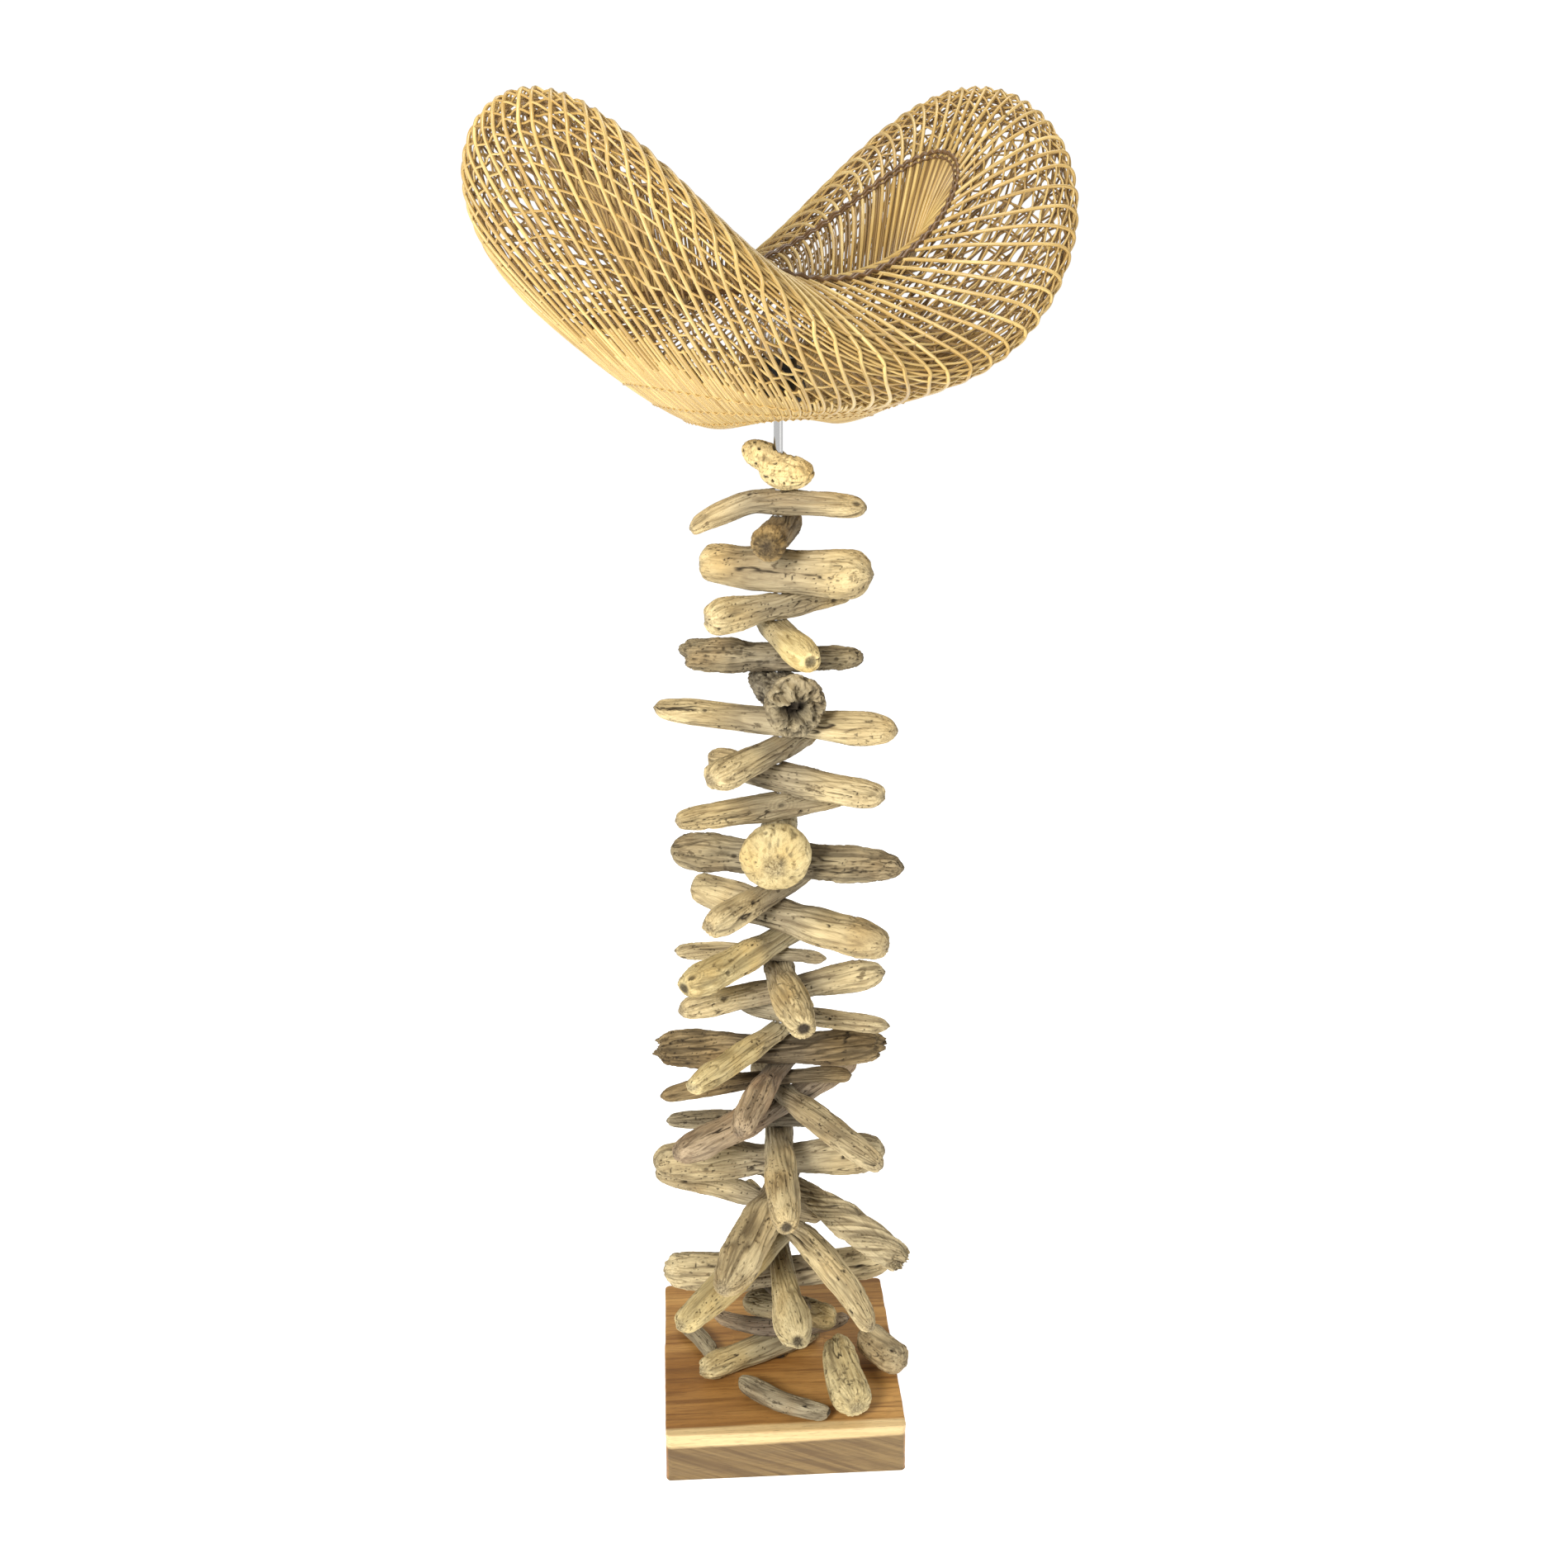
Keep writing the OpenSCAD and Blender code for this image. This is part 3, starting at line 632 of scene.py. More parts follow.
def slab_material():
    """Orange-brown heartwood, brown on the front, with pale sapwood along the front edge."""
    m, nt, bsdf = new_material("slab_wood")
    half_depth = -float(triangles("base_slab")[..., 1].min())
    p = nt.nodes.new("ShaderNodeTexCoord").outputs["Object"]
    sep = nt.nodes.new("ShaderNodeSeparateXYZ")
    nt.links.new(p, sep.inputs[0])
    x, y, z = (sep.outputs[axis] for axis in "XYZ")
    # the growth rings are seen as long lines from left to right, bent by slow noise
    warp = noise_node(nt, p, (2.2, 9, 9), 3, 0.5)
    depth = maths(nt, "ADD", scaled(nt, y, 30), scaled(nt, z, -46))
    ring = maths(nt, "ADD", depth, scaled(nt, warp, 9))
    wave = maths(nt, "SINE", scaled(nt, ring, 2 * math.pi), 0)
    wave = scaled(nt, wave, 0.5, 0.5)
    streak = noise_node(nt, p, (5, 150, 150), 5, 0.6, 0.6)
    broad = noise_node(nt, p, (3, 16, 16), 3, 0.5, 0.8)
    pores = noise_node(nt, p, (60, 1300, 1300), 2, 0.5)
    heart = mix_colour(nt, fade(nt, broad, 0.35, 0, 0.68, 1),
                       (0.36, 0.165, 0.040), (0.66, 0.37, 0.115))
    heart = mix_colour(nt, scaled(nt, wave, 0.30), heart, (0.44, 0.21, 0.055))
    heart = mix_colour(nt, fade(nt, streak, 0.36, 0.70, 0.54, 0), heart, (0.20, 0.085, 0.022))
    # sapwood: a pale band along the whole upper front edge, over both faces. It ends about
    # 10 mm behind the front face and 22 mm below the top
    bend = scaled(nt, warp, 0.010)
    back = maths(nt, "SUBTRACT", y, bend)
    inward = maths(nt, "ADD", back, half_depth + 0.010)
    on_top = fade(nt, scaled(nt, inward, 10), 0.17, 1, 0.215, 0)
    above = maths(nt, "SUBTRACT", maths(nt, "SUBTRACT", z, bend), scaled(nt, x, 0.012))
    on_front = fade(nt, scaled(nt, above, 10), 0.46, 0, 0.50, 1)
    pale = mix_colour(nt, fade(nt, streak, 0.35, 0.5, 0.6, 0),
                      (0.86, 0.64, 0.32), (0.60, 0.37, 0.14))
    sapwood = maths(nt, "MULTIPLY", on_top, on_front)
    # the front face is sawn across the growth rings, and its grain runs at a slant
    behind = maths(nt, "ADD", y, half_depth + 0.0005)
    front = fade(nt, scaled(nt, behind, 100), 0.30, 1, 0.45, 0)
    slope = maths(nt, "ADD", z, scaled(nt, x, 0.42))
    lines = nt.nodes.new("ShaderNodeCombineXYZ")
    for socket, value, per_m in zip(lines.inputs, (x, slope, y), (4, 110, 40)):
        nt.links.new(scaled(nt, value, per_m), socket)
    grain = noise_node(nt, lines.outputs[0], (1, 1, 1), 4, 0.6, 0.5)
    brown = mix_colour(nt, fade(nt, grain, 0.40, 0, 0.60, 1),
                       (0.125, 0.075, 0.026), (0.25, 0.165, 0.062))
    col = mix_colour(nt, scaled(nt, front, 0.92), heart, brown)
    col = mix_colour(nt, sapwood, col, pale)
    col = mix_colour(nt, fade(nt, pores, 0.30, 0.45, 0.44, 0), col, (0.07, 0.030, 0.012))
    nt.links.new(col, bsdf.inputs["Base Color"])
    nt.links.new(fade(nt, streak, 0.3, 0.42, 0.7, 0.58), bsdf.inputs["Roughness"])
    bump_node(nt, bsdf, maths(nt, "ADD", streak, scaled(nt, pores, 0.4)), 0.35, 0.0008)
    return m


def cane_material(name, light, mid, deep):
    """Smooth cane, each one a little lighter or darker by its tone."""
    m, nt, bsdf = new_material(name)
    g = attribute(nt, "grain", "Vector")
    streak = noise_node(nt, g, (14, 900, 900), 3, 0.6)
    blotch = noise_node(nt, g, (22, 60, 60), 3, 0.6)
    col = mix_colour(nt, attribute(nt, "tone"), mid, light)
    col = mix_colour(nt, fade(nt, blotch, 0.40, 0.55, 0.62, 0), col, mid)
    col = mix_colour(nt, fade(nt, streak, 0.34, 0.55, 0.56, 0), col, deep)
    nt.links.new(col, bsdf.inputs["Base Color"])
    bsdf.inputs["Roughness"].default_value = 0.34
    bsdf.inputs["Specular IOR Level"].default_value = 0.45
    bump_node(nt, bsdf, streak, 0.3, 0.0003)
    return m


def plain(name, colour, rough, metallic=0.0, **more):
    """One colour, with a roughness that varies slightly over the surface."""
    m, nt, bsdf = new_material(name)
    bsdf.inputs["Base Color"].default_value = (*colour, 1)
    bsdf.inputs["Metallic"].default_value = metallic
    place = nt.nodes.new("ShaderNodeTexCoord").outputs["Object"]
    smudges = noise_node(nt, place, (400, 400, 400), 3, 0.6)
    nt.links.new(fade(nt, smudges, 0.3, max(0, rough - 0.05), 0.7, min(1, rough + 0.07)),
                 bsdf.inputs["Roughness"])
    for key, value in more.items():
        bsdf.inputs[key.replace("_", " ")].default_value = value
    return m


# light, middle, deep and accent colours of each kind of driftwood
WOOD_COLOURS = {
    "driftwood": ((0.75, 0.63, 0.40), (0.57, 0.46, 0.28), (0.20, 0.14, 0.075),
                  (0.54, 0.39, 0.20)),
    "driftwood_pale": ((0.80, 0.68, 0.41), (0.68, 0.56, 0.32), (0.27, 0.19, 0.09),
                       (0.64, 0.45, 0.20)),
    "driftwood_grey": ((0.48, 0.41, 0.28), (0.31, 0.255, 0.165), (0.085, 0.060, 0.035),
                       (0.30, 0.22, 0.13)),
    "driftwood_pink": ((0.60, 0.48, 0.34), (0.43, 0.33, 0.22), (0.15, 0.105, 0.065),
                       (0.44, 0.28, 0.18)),
    "driftwood_dark": ((0.44, 0.34, 0.20), (0.27, 0.195, 0.105), (0.065, 0.042, 0.022),
                       (0.37, 0.26, 0.13)),
}
WOODS = {name: driftwood_material(name, *c) for name, c in WOOD_COLOURS.items()}
CANE = cane_material("rattan", (0.83, 0.63, 0.255), (0.52, 0.33, 0.100), (0.19, 0.095, 0.025))
# a darker copy of the rattan for the canes inside the weave and deep in the crease: painted shade
CANE_SHADED = cane_material("rattan_painted_shade",
                        (0.42, 0.27, 0.10), (0.23, 0.135, 0.045), (0.09, 0.047, 0.015))
BINDING = cane_material("rattan_binding",
                        (0.24, 0.13, 0.05), (0.15, 0.08, 0.03), (0.06, 0.03, 0.012))
FILAMENT = plain("filament", (0.95, 0.72, 0.20), 0.5)

MATERIAL = {
    "rattan": CANE,
    "slab_wood": slab_material(),
    "tube_steel": plain("tube_steel", (0.50, 0.50, 0.495), 0.16, 1.0),
    "plated_steel": plain("plated_steel", (0.62, 0.62, 0.60), 0.35, 1.0),
    "black_plastic": plain("black_plastic", (0.012, 0.012, 0.012), 0.35),
    "fitter_steel": plain("fitter_steel", (0.08, 0.075, 0.07), 0.45, 0.3),
    "porcelain": plain("porcelain", (0.83, 0.81, 0.76), 0.22),
    "contact_brass": plain("contact_brass", (0.72, 0.52, 0.22), 0.25, 1.0),
    "bulb_metal": plain("bulb_metal", (0.76, 0.76, 0.75), 0.28, 1.0),
    "bulb_glass": plain("bulb_glass", (1.0, 1.0, 1.0), 0.02, Transmission_Weight=1.0, IOR=1.45),
    **WOODS,
}
for n, o in NODES.items():
    o.data.materials.clear()
    o.data.materials.append(MATERIAL[SLOT[n]])


# -------------------- the driftwood

# What sets one piece apart from another. Pairs are for its first and its second end.
PLAIN_WOOD = {
    "knots": 4, "knot_size": 1.0,
    "rough": 1.15,  # strength of the grain
    "flute": 1.6,  # depth of the worn grooves, mm
    "twist": 0.004,  # turn of the grain, radians a mm
    "cracks": 0.12,  # more cracks with a higher value
    "pits": 0.0,  # strength of the worn hollows
    "calm": 10,  # the grooves fade out over this distance from an end, mm
    "worn": (9, 9),  # length of the rounding, mm
    "jag": (1.5, 1.5),  # unevenness of a broken end, mm
    "slant": (0, 0),  # how far one side of a sawn end lies back, mm
    "hollow": (0, 0),  # depth of the hollow, mm
    "dark_end": (0, 0),  # how dark the end face is
}
STYLES = {
    "log_sawn_foot": {"jag": (4, 1), "hollow": (0, 5), "worn": (9, 7), "tone": 0.45},
    "root_pink_bowed": {"knots": 2, "knot_size": 0.5, "worn": (14, 14)},
    "log_back_cross": {"worn": (6, 6), "jag": (4, 4), "flute": 2.2},
    "branch_flared": {"hollow": (0, 4), "worn": (9, 6), "knots": 2, "jag": (2, 3)},
    "branch_smooth_left": {"knots": 1, "rough": 0.6, "flute": 0.8, "worn": (9, 13), "tone": 0.62},
    "branch_bent_right": {"knots": 6, "knot_size": 0.8, "worn": (9, 12)},
    "branch_gnarled_left": {"knots": 6, "knot_size": 1.2, "rough": 1.6, "flute": 2.6,
                            "cracks": 0.3},
    "branch_curly_right": {"rough": 2.0, "flute": 3.0, "jag": (2, 12), "worn": (9, 5),
                           "twist": 0.03},
    "branch_front_low": {"hollow": (0, 4), "worn": (9, 7), "knots": 2},
    "root_dark_cross": {"rough": 1.5, "worn": (8, 8), "knots": 2, "knot_size": 0.6},
    "log_grooved": {"rough": 2.2, "flute": 3.6, "cracks": 0.5, "jag": (8, 8), "worn": (5, 5)},
    "branch_pale_left": {"slant": (0, 14), "worn": (9, 4), "rough": 0.8, "flute": 2.0},
    "twig_right_mid": {"knots": 2, "knot_size": 0.5},
    "branch_front_mid": {"knots": 6, "rough": 1.7, "hollow": (0, 5), "cracks": 0.3},
    "branch_left_mid": {"knots": 5, "rough": 1.3, "hollow": (0, 4), "worn": (9, 8)},
    "log_broad_cross": {"rough": 0.9, "flute": 1.4, "tone": 0.6},
    "branch_knot_left": {"knot_size": 1.1, "jag": (2, 5)},
    "log_dark_cross": {"rough": 2.0, "flute": 2.0, "cracks": 0.35, "pits": 0.25},
    "knob_ball_front": {"pits": 0.40, "rough": 0.8, "flute": 0.2, "worn": (9, 24), "knots": 1,
                        "tone": 0.55, "calm": 42},
    "log_long_cross": {"worn": (14, 6), "rough": 0.7, "tone": 0.65},
    "root_burl_front": {"pits": 1.5, "rough": 1.6, "knots": 8, "hollow": (0, 7),
                        "worn": (9, 14), "cracks": 0.5, "jag": (2, 12), "calm": 40,
                        "tone": 0.62},
    "log_rough_cross": {"pits": 0.45, "rough": 2.0, "knots": 5, "jag": (6, 3), "worn": (6, 8)},
    "branch_sawn_front": {"worn": (9, 2.5), "jag": (1, 0.3), "rough": 0.5, "flute": 0.6,
                          "tone": 0.80, "hollow": (0, 4), "cracks": -0.3, "knots": 1},
    "log_fat_round": {"worn": (16, 18), "knots": 3, "rough": 0.7, "flute": 0.9, "pits": 0.12,
                      "tone": 0.72},
    "log_end_front": {"hollow": (0, 2), "worn": (9, 2.5), "cracks": 0.2, "rough": 1.0,
                      "dark_end": (0, 0.92), "tone": 0.75},
    "root_arched": {"rough": 0.8, "tone": 0.62},
    "foot_skull": {"knots": 7, "knot_size": 1.25, "pits": 0.35, "worn": (18, 18), "rough": 1.5},
    "foot_knob": {"knots": 5, "pits": 0.3, "worn": (18, 18)},
    "foot_arc": {"knots": 1, "rough": 0.7, "worn": (9, 7), "hollow": (0, 4)},
}
CORK = "knob_cork_top"
STACK_TOP = 1.2  # pieces this high up are the palest
woods = [n for n in RECORD["behaviour"]["bodies"]["lamp"] if SLOT[n] in WOODS]
for number, node in enumerate(woods):
    if node == CORK:
        continue
    # pieces higher up the stack are paler and yellower
    high = min(1.0, float(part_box(node)[1][2]) / STACK_TOP)
    tone = 0.20 + 0.45 * high + 0.25 * ((number * 7) % 5) / 4
    style = {**PLAIN_WOOD, "tone": tone, **STYLES.get(node, {})}
    Driftwood(node, 11 + number, style).build(WOODS[SLOT[node]])


def remeshed(node, name, size, passes):
    """The CAD node's own shape as an even, dense mesh with softened edges."""
    o = bpy.data.objects.new(name, NODES[node].data.copy())
    bpy.context.scene.collection.objects.link(o)
    even = o.modifiers.new("remesh", "REMESH")
    even.mode = "VOXEL"
    even.voxel_size = size
    soft = o.modifiers.new("soft", "SMOOTH")
    soft.factor = 0.5
    soft.iterations = passes
    done = bpy.data.meshes.new_from_object(
        o.evaluated_get(bpy.context.evaluated_depsgraph_get()))
    bpy.data.objects.remove(o)

    def read(rows, key, width, kind):
        values = np.zeros(len(rows) * width, kind)
        rows.foreach_get(key, values)
        return values

    co = read(done.vertices, "co", 3, np.float32).reshape(-1, 3).astype(np.float64)
    no = read(done.vertices, "normal", 3, np.float32).reshape(-1, 3).astype(np.float64)
    assert (read(done.polygons, "loop_total", 1, np.int32) == 4).all()
    return co, no, read(done.loops, "vertex_index", 1, np.int32).reshape(-1, 4)


def cork_knob():
    """The corky piece on top: swollen, with holes, pits and furrows."""
    co, no, quads = remeshed(CORK, "knob", 0.0011, 10)
    p = co * 1000
    holes = smooth_step(0.42, 0.78, noise(p * 0.24, 8))
    pits = smooth_step(0.50, 0.85, noise(p * 0.62, 12))
    furrow = np.exp(-(noise(p * np.array([0.05, 0.05, 0.16]), 21) / 0.10) ** 2)
    d = 0.9 * octaves(p * 0.05, 3, 2) - 2.4 * holes - 1.0 * pits - 1.1 * furrow \
        + 0.35 * noise(p * 0.5, 4) - 0.5
    # the bottom, which rests on the stack, stays as it is
    low = np.clip((p[:, 2] - p[:, 2].min()) / 3, 0, 1)
    co = co + no * (np.clip(d, -4, 0.8) * low)[:, None] / 1000
    # painted shade: the holes, pits and furrows are painted dark, and carved-in places darker still
    dark = np.maximum(np.maximum(holes, 0.7 * pits), 0.35 * furrow)
    piece("wood_" + CORK, co, quads, CORK, WOODS[SLOT[CORK]],
          {"grain": p[:, [2, 0, 1]] / 1000 + 0.7, "cavity_shade": np.clip(-d / 3, 0, 1), "dark": dark,
           "endgrain": 0 * d, "tone": 0 * d + 0.95})


def slab():
    """The slab, slightly uneven outside and unchanged in its holes and underneath."""
    co, no, quads = remeshed("base_slab", "slab", 0.0016, 6)
    p = co * 1000
    wave = 0.9 * noise(p * np.array([0.012, 0.012, 0.02]), 5) \
        + 0.35 * noise(p * np.array([0.02, 0.09, 0.09]), 6) \
        + 0.10 * noise(p * np.array([0.05, 0.5, 0.5]), 7) - 0.7
    outer = (np.abs(co[:, :2]).max(1) > 0.06) & (co[:, 2] > 0.002)
    inlet = (np.abs(co[:, 0]) < 0.012) & (co[:, 1] > 0.05) & (co[:, 2] < 0.024)
    sink = np.where(outer & ~inlet, np.clip(wave, -1.9, 0.0), 0)
    piece("slab_body", co + no * sink[:, None] / 1000, quads, "base_slab",
          MATERIAL["slab_wood"])


cork_knob()
slab()


# -------------------- the woven shade
# The surface is the CAD shade's own: an elliptic ring tube, bent into a saddle, whose inner
# side is drawn in to the crease above and to the neck below. Lengths are in metres.

A, B = 0.312, 0.250  # half width and half depth of the rim
H, H1 = 0.045, 0.020  # half height of the edge, and how it varies round the rim
RISE, DROP = 0.182, 0.050  # how far the lobes rise and the sides drop
FULL = 0.20  # fullness of the outline between the axes
CREASE_A, CREASE_B, CREASE_Z = 0.190, 0.010, 0.012  # half size and height of the crease
TOP, LOW = math.radians(-24), math.radians(31)  # twist of the ribs above and below
HEADING = math.radians(38)  # direction of the lobes
NECK_R = 0.0405
NECK = 0.110  # from the neck up to the middle of the edge
NECK_Z = float(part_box("shade_fitter")[0][2])
SHADE_Z = NECK_Z + NECK

RIBS = 80
STEPS = 150  # points along a rib
RIB_DEPTH = 0.0026  # how far a rib's middle lies inside the outer skin
RIB_R, UNDER_R, THROAT_R, WEAVER_R, SLANT_R = 0.0020, 0.0016, 0.0013, 0.00115, 0.00125
WEAVERS = 27
WEAVER_FIRST, WEAVER_LAST = 1.90, -1.60  # t of the highest and of the lowest weaver
WEAVER_DEPTH, WEAVER_SWING = 0.0017, 0.0019  # middle and swing of a weaver, from the ribs
SLANTS = 60  # in each of the two layers
SLANT_TURN = 0.46  # how far round a slanting cane goes from the edge


def weave_point(u0, t, w):
    """A point of the weave, w inside the outer skin.

    u0 goes round the shade. t goes from the crease (pi) over the edge (0) to the neck (-pi).
    """
    u0, t, w = np.broadcast_arrays(*(np.asarray(v, float) for v in (u0, t, w)))
    rho = (1 + np.cos(t)) / 2
    up = t >= 0
    u = u0 + np.where(up, TOP, LOW) * (1 - rho)
    ex = np.where(up, CREASE_A, NECK_R) + w
    ey = np.where(up, CREASE_B, NECK_R) + w
    x = np.cos(u) * (A - w) * rho * (1 + FULL * np.sin(u) ** 2) + np.cos(u0) * ex * (1 - rho)
    y = np.sin(u) * (B - w) * rho * (1 + FULL * np.cos(u) ** 2) + np.sin(u0) * ey * (1 - rho)
    bend = RISE * (x / A) ** 2 - DROP * (y / B) ** 2
    z = (H - w + H1 * np.cos(2 * u)) * np.sin(t) \
        + np.where(up, CREASE_Z - w, w - NECK) * (1 - rho) \
        + bend * np.where(up, 1 - (1 - rho) ** 4, 1)
    c, s = math.cos(HEADING), math.sin(HEADING)
    return np.stack([x * c - y * s, x * s + y * c, z + SHADE_Z], -1)


class Canes:
    """Collects round canes into one mesh."""

    def __init__(self, sides):
        self.sides, self.count = sides, 0
        self.verts, self.faces, self.grain, self.tone = [], [], [], []

    def add(self, path, radius, tone, closed=False):
        n, m = len(path), self.sides
        if closed:
            tan = np.roll(path, -1, 0) - np.roll(path, 1, 0)
        else:
            tan = np.gradient(path, axis=0)
        tan /= np.linalg.norm(tan, axis=1)[:, None] + 1e-12
        up = path - np.array([0, 0, SHADE_Z - 0.02])
        side = np.cross(tan, up)
        side /= np.linalg.norm(side, axis=1)[:, None] + 1e-12
        out = np.cross(side, tan)
        a = 2 * np.pi * np.arange(m) / m
        r = np.broadcast_to(radius, (n,))
        ring = side[:, None, :] * np.cos(a)[None, :, None] \
            + out[:, None, :] * np.sin(a)[None, :, None]
        self.verts.append((path[:, None, :] + ring * r[:, None, None]).reshape(-1, 3))
        # the grain runs on along the cane, and each cane has its own part of the pattern
        step = np.linalg.norm(np.diff(path, axis=0), axis=1)
        step = np.concatenate([[0], np.cumsum(step)])
        grain = np.stack([np.repeat(step[:, None], m, 1) + tone * 7.3,
                          np.repeat(0.002 * np.cos(a)[None, :], n, 0) + tone * 3.1,
                          np.repeat(0.002 * np.sin(a)[None, :], n, 0)], -1)
        self.grain.append(grain.reshape(-1, 3))
        self.tone.append(np.full(n * m, tone))
        ends = self.join(n) if closed else self.cut_ends(n)
        self.faces.append(np.concatenate([grid_faces(n, m, self.count), ends + self.count]))
        self.count += n * m

    def join(self, n):
        """Faces from the last ring of a closed cane to its first."""
        j = np.arange(self.sides)
        k = (j + 1) % self.sides
        last = (n - 1) * self.sides
        return np.stack([last + j, last + k, k, j], -1)

    def cut_ends(self, n):
        """A small fan of quads over each cut end."""
        m, quads = self.sides, []
        for base, flip in ((0, True), ((n - 1) * m, False)):
            for q in range(1, m // 2):
                quad = [base + q - 1, base + q, base + m - 1 - q, base + (m - q) % m]
                quads.append(quad[::-1] if flip else quad)
        return np.array(quads)

    def build(self, name, material, replace=False):
        piece(name, np.concatenate(self.verts), np.concatenate(self.faces), "rattan_shade",
              material, {"grain": np.concatenate(self.grain), "tone": np.concatenate(self.tone)},
              replace=replace)


rnd = np.random.RandomState(4)
ribs, under, throat = Canes(8), Canes(6), Canes(6)
for k in range(RIBS):
    u = 2 * np.pi * (k + rnd.uniform(-0.10, 0.10)) / RIBS
    t = np.linspace(math.pi, -math.pi, STEPS)
    tone = rnd.uniform(0.25, 1.0)
    # ribs get thinner where they crowd together, at the neck and in the crease
    thin = RIB_R * (1 - 0.30 * smooth_step(2.2, 3.1, -t)) * (1 - 0.25 * smooth_step(2.3, 3.1, t))
    sway = 0.006 * np.sin(3.1 * t + k * 1.7) * np.sin(2 * t + k)
    ribs.add(weave_point(u + sway, t, RIB_DEPTH), thin, tone)
    # three close canes between two ribs under the body
    for part in (0.25, 0.50, 0.75):
        first = (-1.32 if part == 0.50 else -1.50) - rnd.uniform(-0.06, 0.06)
        t = np.linspace(first, -math.pi, STEPS // 3)
        u = 2 * np.pi * (k + part + rnd.uniform(-0.04, 0.04)) / RIBS
        thin = UNDER_R * (1 - 0.45 * smooth_step(2.3, 3.1, -t))
        under.add(weave_point(u, t, RIB_DEPTH), thin, rnd.uniform(0.3, 1.0))
    # and two deep in the crease, in darker rattan that is painted shade
    for part in (0.34, 0.67):
        t = np.linspace(math.pi, 1.96 + rnd.uniform(-0.05, 0.05), STEPS // 3)
        u = 2 * np.pi * (k + part + rnd.uniform(-0.05, 0.05)) / RIBS
        throat.add(weave_point(u, t, RIB_DEPTH + 0.0004), THROAT_R, rnd.uniform(0.2, 0.9))
ribs.build("cane_ribs", CANE, replace=True)
throat.build("cane_throat", CANE_SHADED)

# weavers run round the shade, over one rib and under the next
weavers = Canes(6)
n = RIBS * 6
u = 2 * np.pi * np.arange(n) / n
for k in range(WEAVERS):
    t = WEAVER_FIRST - (WEAVER_FIRST - WEAVER_LAST) * k / (WEAVERS - 1)
    t = t + 0.012 * np.sin(5 * u + k) + 0.008 * np.sin(11 * u + 2.2 * k)
    depth = RIB_DEPTH + WEAVER_DEPTH + WEAVER_SWING * np.cos(RIBS * u / 2 + math.pi * k)
    weavers.add(weave_point(u, t, depth), WEAVER_R, rnd.uniform(0.0, 0.8), closed=True)
weavers.build("cane_weavers", CANE)

# two slanting layers inside the ribs, in darker rattan that is painted shade
slants = Canes(6)
for way, depth in ((1, 0.0084), (-1, 0.0106)):
    for k in range(SLANTS):
        u0 = 2 * np.pi * (k + rnd.uniform(-0.22, 0.22)) / SLANTS
        t = np.linspace(1.94, -1.70, STEPS // 2)
        u = u0 + way * SLANT_TURN * (t / 1.7)
        slants.add(weave_point(u, t, depth), SLANT_R, rnd.uniform(0.0, 1.0))
slants.build("cane_slanting", CANE_SHADED)

# three thin bindings under the body, two thick dark ones round the mouth of the crease,
# and one at the inner edge of the crease and of the neck
n = RIBS * 4
u = 2 * np.pi * np.arange(n) / n
for t in (-1.68, -1.90, -2.15):
    path = weave_point(u, t + 0.01 * np.sin(3 * u), 0.0014 + 0.0008 * np.cos(RIBS * u))
    under.add(path, 0.0009, 0.2, closed=True)
under.build("cane_under", CANE)
binding = Canes(8)
for t, w, r in ((1.96, -0.0014, 0.0022), (2.01, -0.0006, 0.0014)):
    path = weave_point(u, t, w + r + 0.0010 * np.cos(RIBS * u))
    binding.add(path, r, 0.5, closed=True)
u = 2 * np.pi * np.arange(240) / 240
binding.add(weave_point(u, math.pi - 0.16, 0.0045), 0.0026, 0.3, closed=True)
binding.add(weave_point(u, -math.pi + 0.10, 0.0040), 0.0020, 0.6, closed=True)
binding.build("cane_binding", BINDING)


# -------------------- inside the bulb

def rod(a, b, r, sides=12):
    """Points and faces of a straight round rod."""
    a, b = np.array(a, float), np.array(b, float)
    d = (b - a) / np.linalg.norm(b - a)
    h = np.cross(d, [0.3, 0.9, 0.1])
    h /= np.linalg.norm(h)
    q = np.cross(d, h)
    an = 2 * np.pi * np.arange(sides) / sides
    ring = (np.cos(an)[:, None] * h + np.sin(an)[:, None] * q) * r
    return np.concatenate([a + ring, b + ring]), grid_faces(2, sides)


def bulb_inside():
    """Four leaning filaments on a glass stem."""
    low, high = (float(corner[2]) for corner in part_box("bulb_glass"))
    verts, faces = [], []
    for k in range(4):
        angle = 2 * np.pi * k / 4 + 0.3
        c, s = math.cos(angle), math.sin(angle)
        v, f = rod((0.005 * c, 0.005 * s, low + 0.014),
                   (0.009 * c, 0.009 * s, high - 0.013), 0.0008)
        verts.append(v)
        faces.append(f + k * len(v))
    piece("bulb_filaments", np.concatenate(verts), np.concatenate(faces), "bulb_cap", FILAMENT,
          replace=False)
    v, f = rod((0, 0, low + 0.001), (0, 0, low + 0.015), 0.004, 20)
    piece("bulb_stem", v, f, "bulb_glass", MATERIAL["bulb_glass"], replace=False)


bulb_inside()


# -------------------- floor, light, camera

FLOOR_HALF = 30  # so far out that its edge is never seen
CAMERA_TILT, CAMERA_TURN = 21.3, -3.6  # degrees down, and to the right

scene = bpy.context.scene


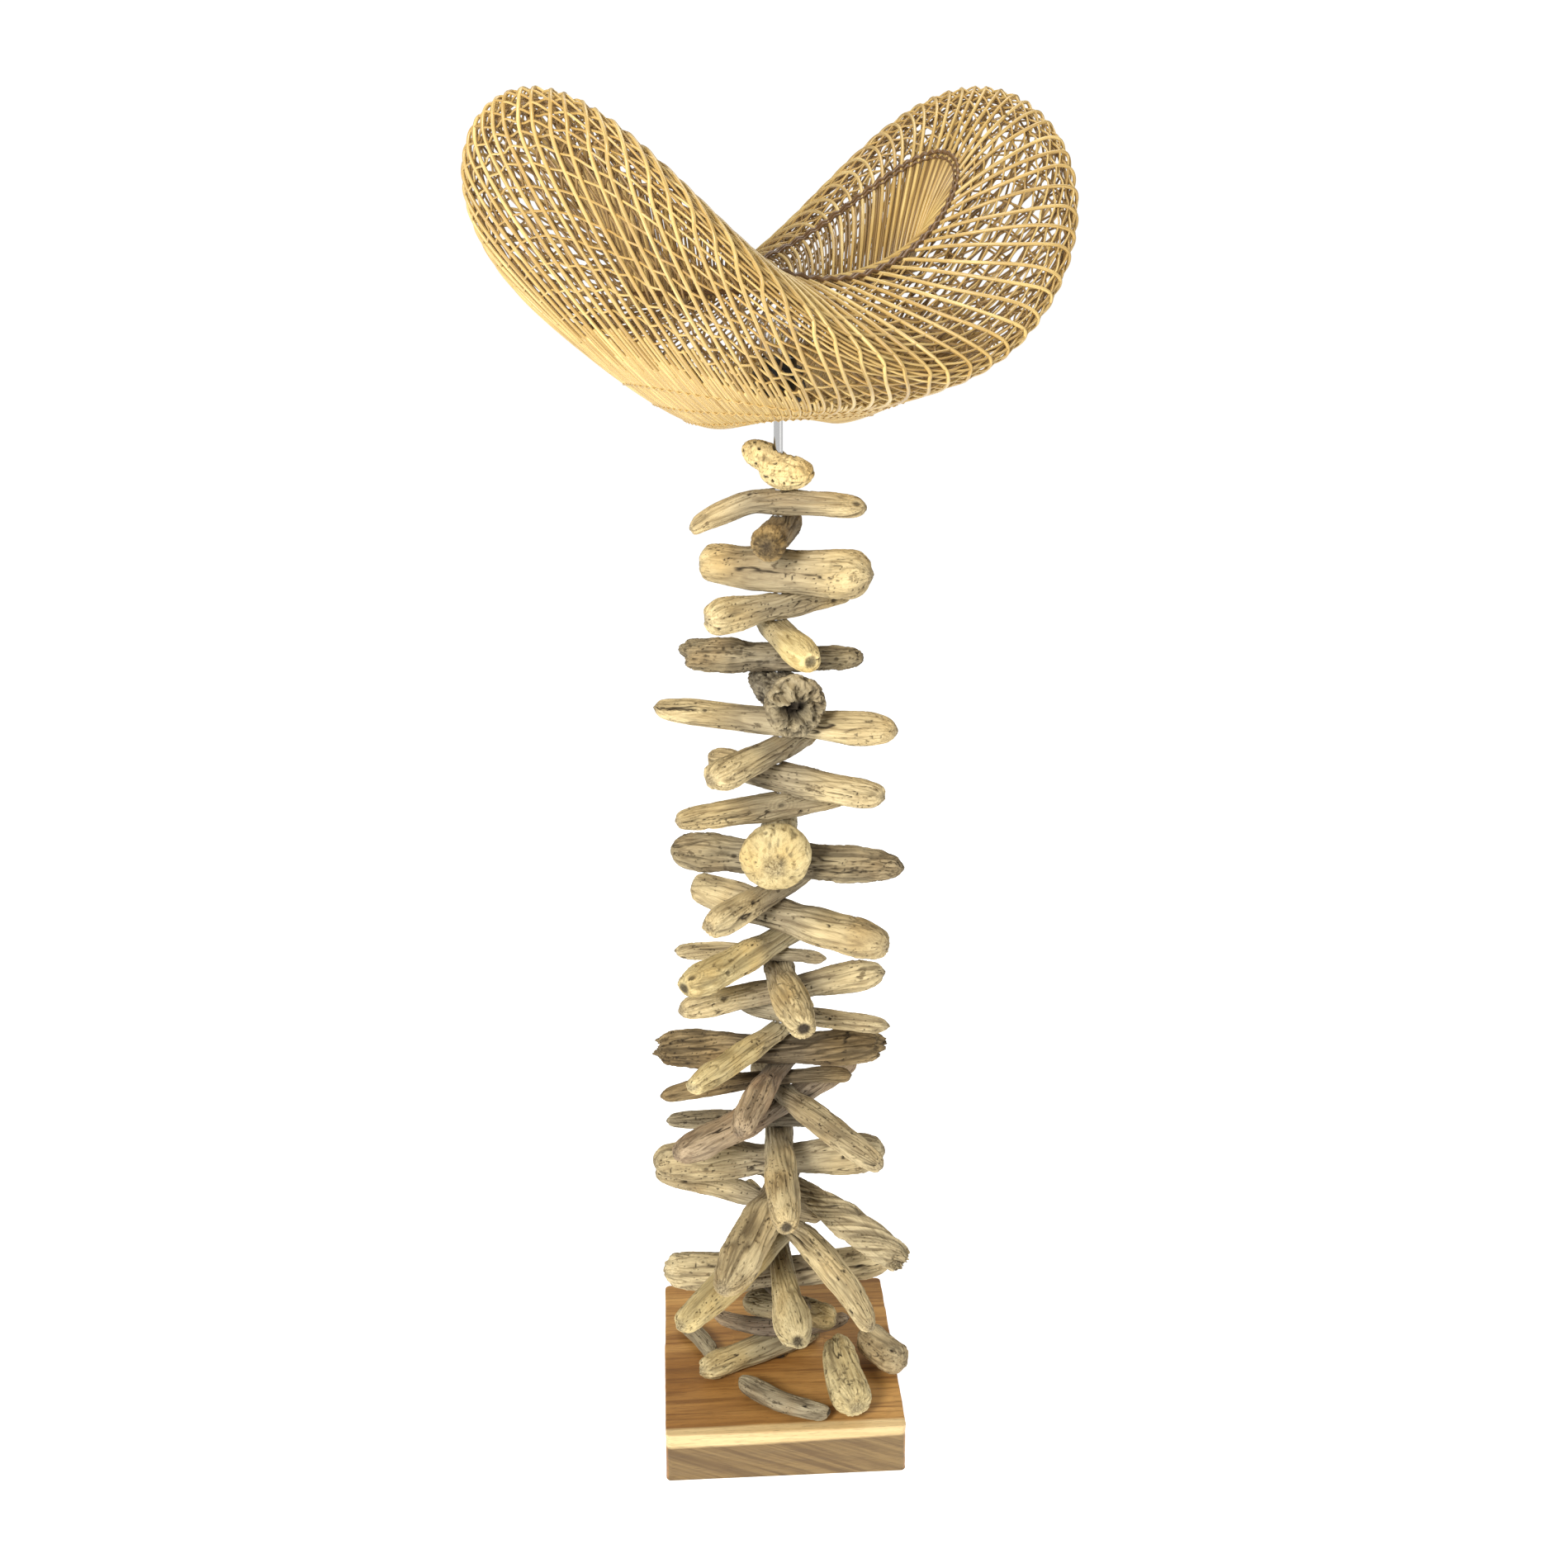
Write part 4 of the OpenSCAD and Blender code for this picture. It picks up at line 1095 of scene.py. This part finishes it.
def white_floor():
    me = bpy.data.meshes.new("floor")
    corners = [(FLOOR_HALF * x, FLOOR_HALF * y, 0) for x, y in ((-1, -1), (1, -1), (1, 1), (-1, 1))]
    me.from_pydata(corners, [], [(0, 1, 2, 3)])
    floor = bpy.data.objects.new("floor", me)
    scene.collection.objects.link(floor)
    m, _, bsdf = new_material("floor")
    bsdf.inputs["Base Color"].default_value = (0.86, 0.86, 0.86, 1)
    bsdf.inputs["Emission Color"].default_value = (1, 1, 1, 1)
    bsdf.inputs["Emission Strength"].default_value = 0.76
    bsdf.inputs["Roughness"].default_value = 0.9
    bsdf.inputs["Specular IOR Level"].default_value = 0.0
    me.materials.append(m)


def area(name, place, aim, size, power, colour=(1, 1, 1)):
    """A square soft light at place that points at aim."""
    d = bpy.data.lights.new(name, "AREA")
    d.shape = "RECTANGLE"
    d.size = d.size_y = size
    d.energy = power
    d.color = colour
    o = bpy.data.objects.new(name, d)
    o.location = place
    o.rotation_euler = (Vector(aim) - Vector(place)).to_track_quat("-Z", "Y").to_euler()
    scene.collection.objects.link(o)


def studio_world(light, shown):
    """White surroundings, lit at one strength and seen by the camera at another."""
    world = bpy.data.worlds.new("studio")
    scene.world = world
    world.use_nodes = True
    nt = world.node_tree
    lit = nt.nodes["Background"]
    seen = nt.nodes.new("ShaderNodeBackground")
    for node, strength in ((lit, light), (seen, shown)):
        node.inputs[0].default_value = (1, 1, 1, 1)
        node.inputs[1].default_value = strength
    path = nt.nodes.new("ShaderNodeLightPath")
    mixer = nt.nodes.new("ShaderNodeMixShader")
    nt.links.new(path.outputs["Is Camera Ray"], mixer.inputs[0])
    nt.links.new(lit.outputs[0], mixer.inputs[1])
    nt.links.new(seen.outputs[0], mixer.inputs[2])
    nt.links.new(mixer.outputs[0], nt.nodes["World Output"].inputs[0])


white_floor()
area("key", (-1.3, -2.6, 2.3), (0, 0, 0.9), 0.8, 100, (1.0, 0.98, 0.93))
area("fill", (2.4, -1.8, 1.4), (0, 0, 0.8), 2.2, 10, (1.0, 0.98, 0.95))
area("top", (0.3, 0.6, 3.2), (0, 0, 1.0), 1.6, 30)
studio_world(0.30, 1.05)
scene.view_settings.view_transform = "Standard"
scene.view_settings.look = "None"

cam = bpy.data.cameras.new("camera")
cam.lens = 41.1
cam.sensor_width = 36
eye = bpy.data.objects.new("camera", cam)
eye.location = (-0.114, -1.910, 1.613)
eye.rotation_euler = Euler((math.radians(90 - CAMERA_TILT), 0, math.radians(CAMERA_TURN)), "XYZ")
scene.collection.objects.link(eye)
scene.camera = eye
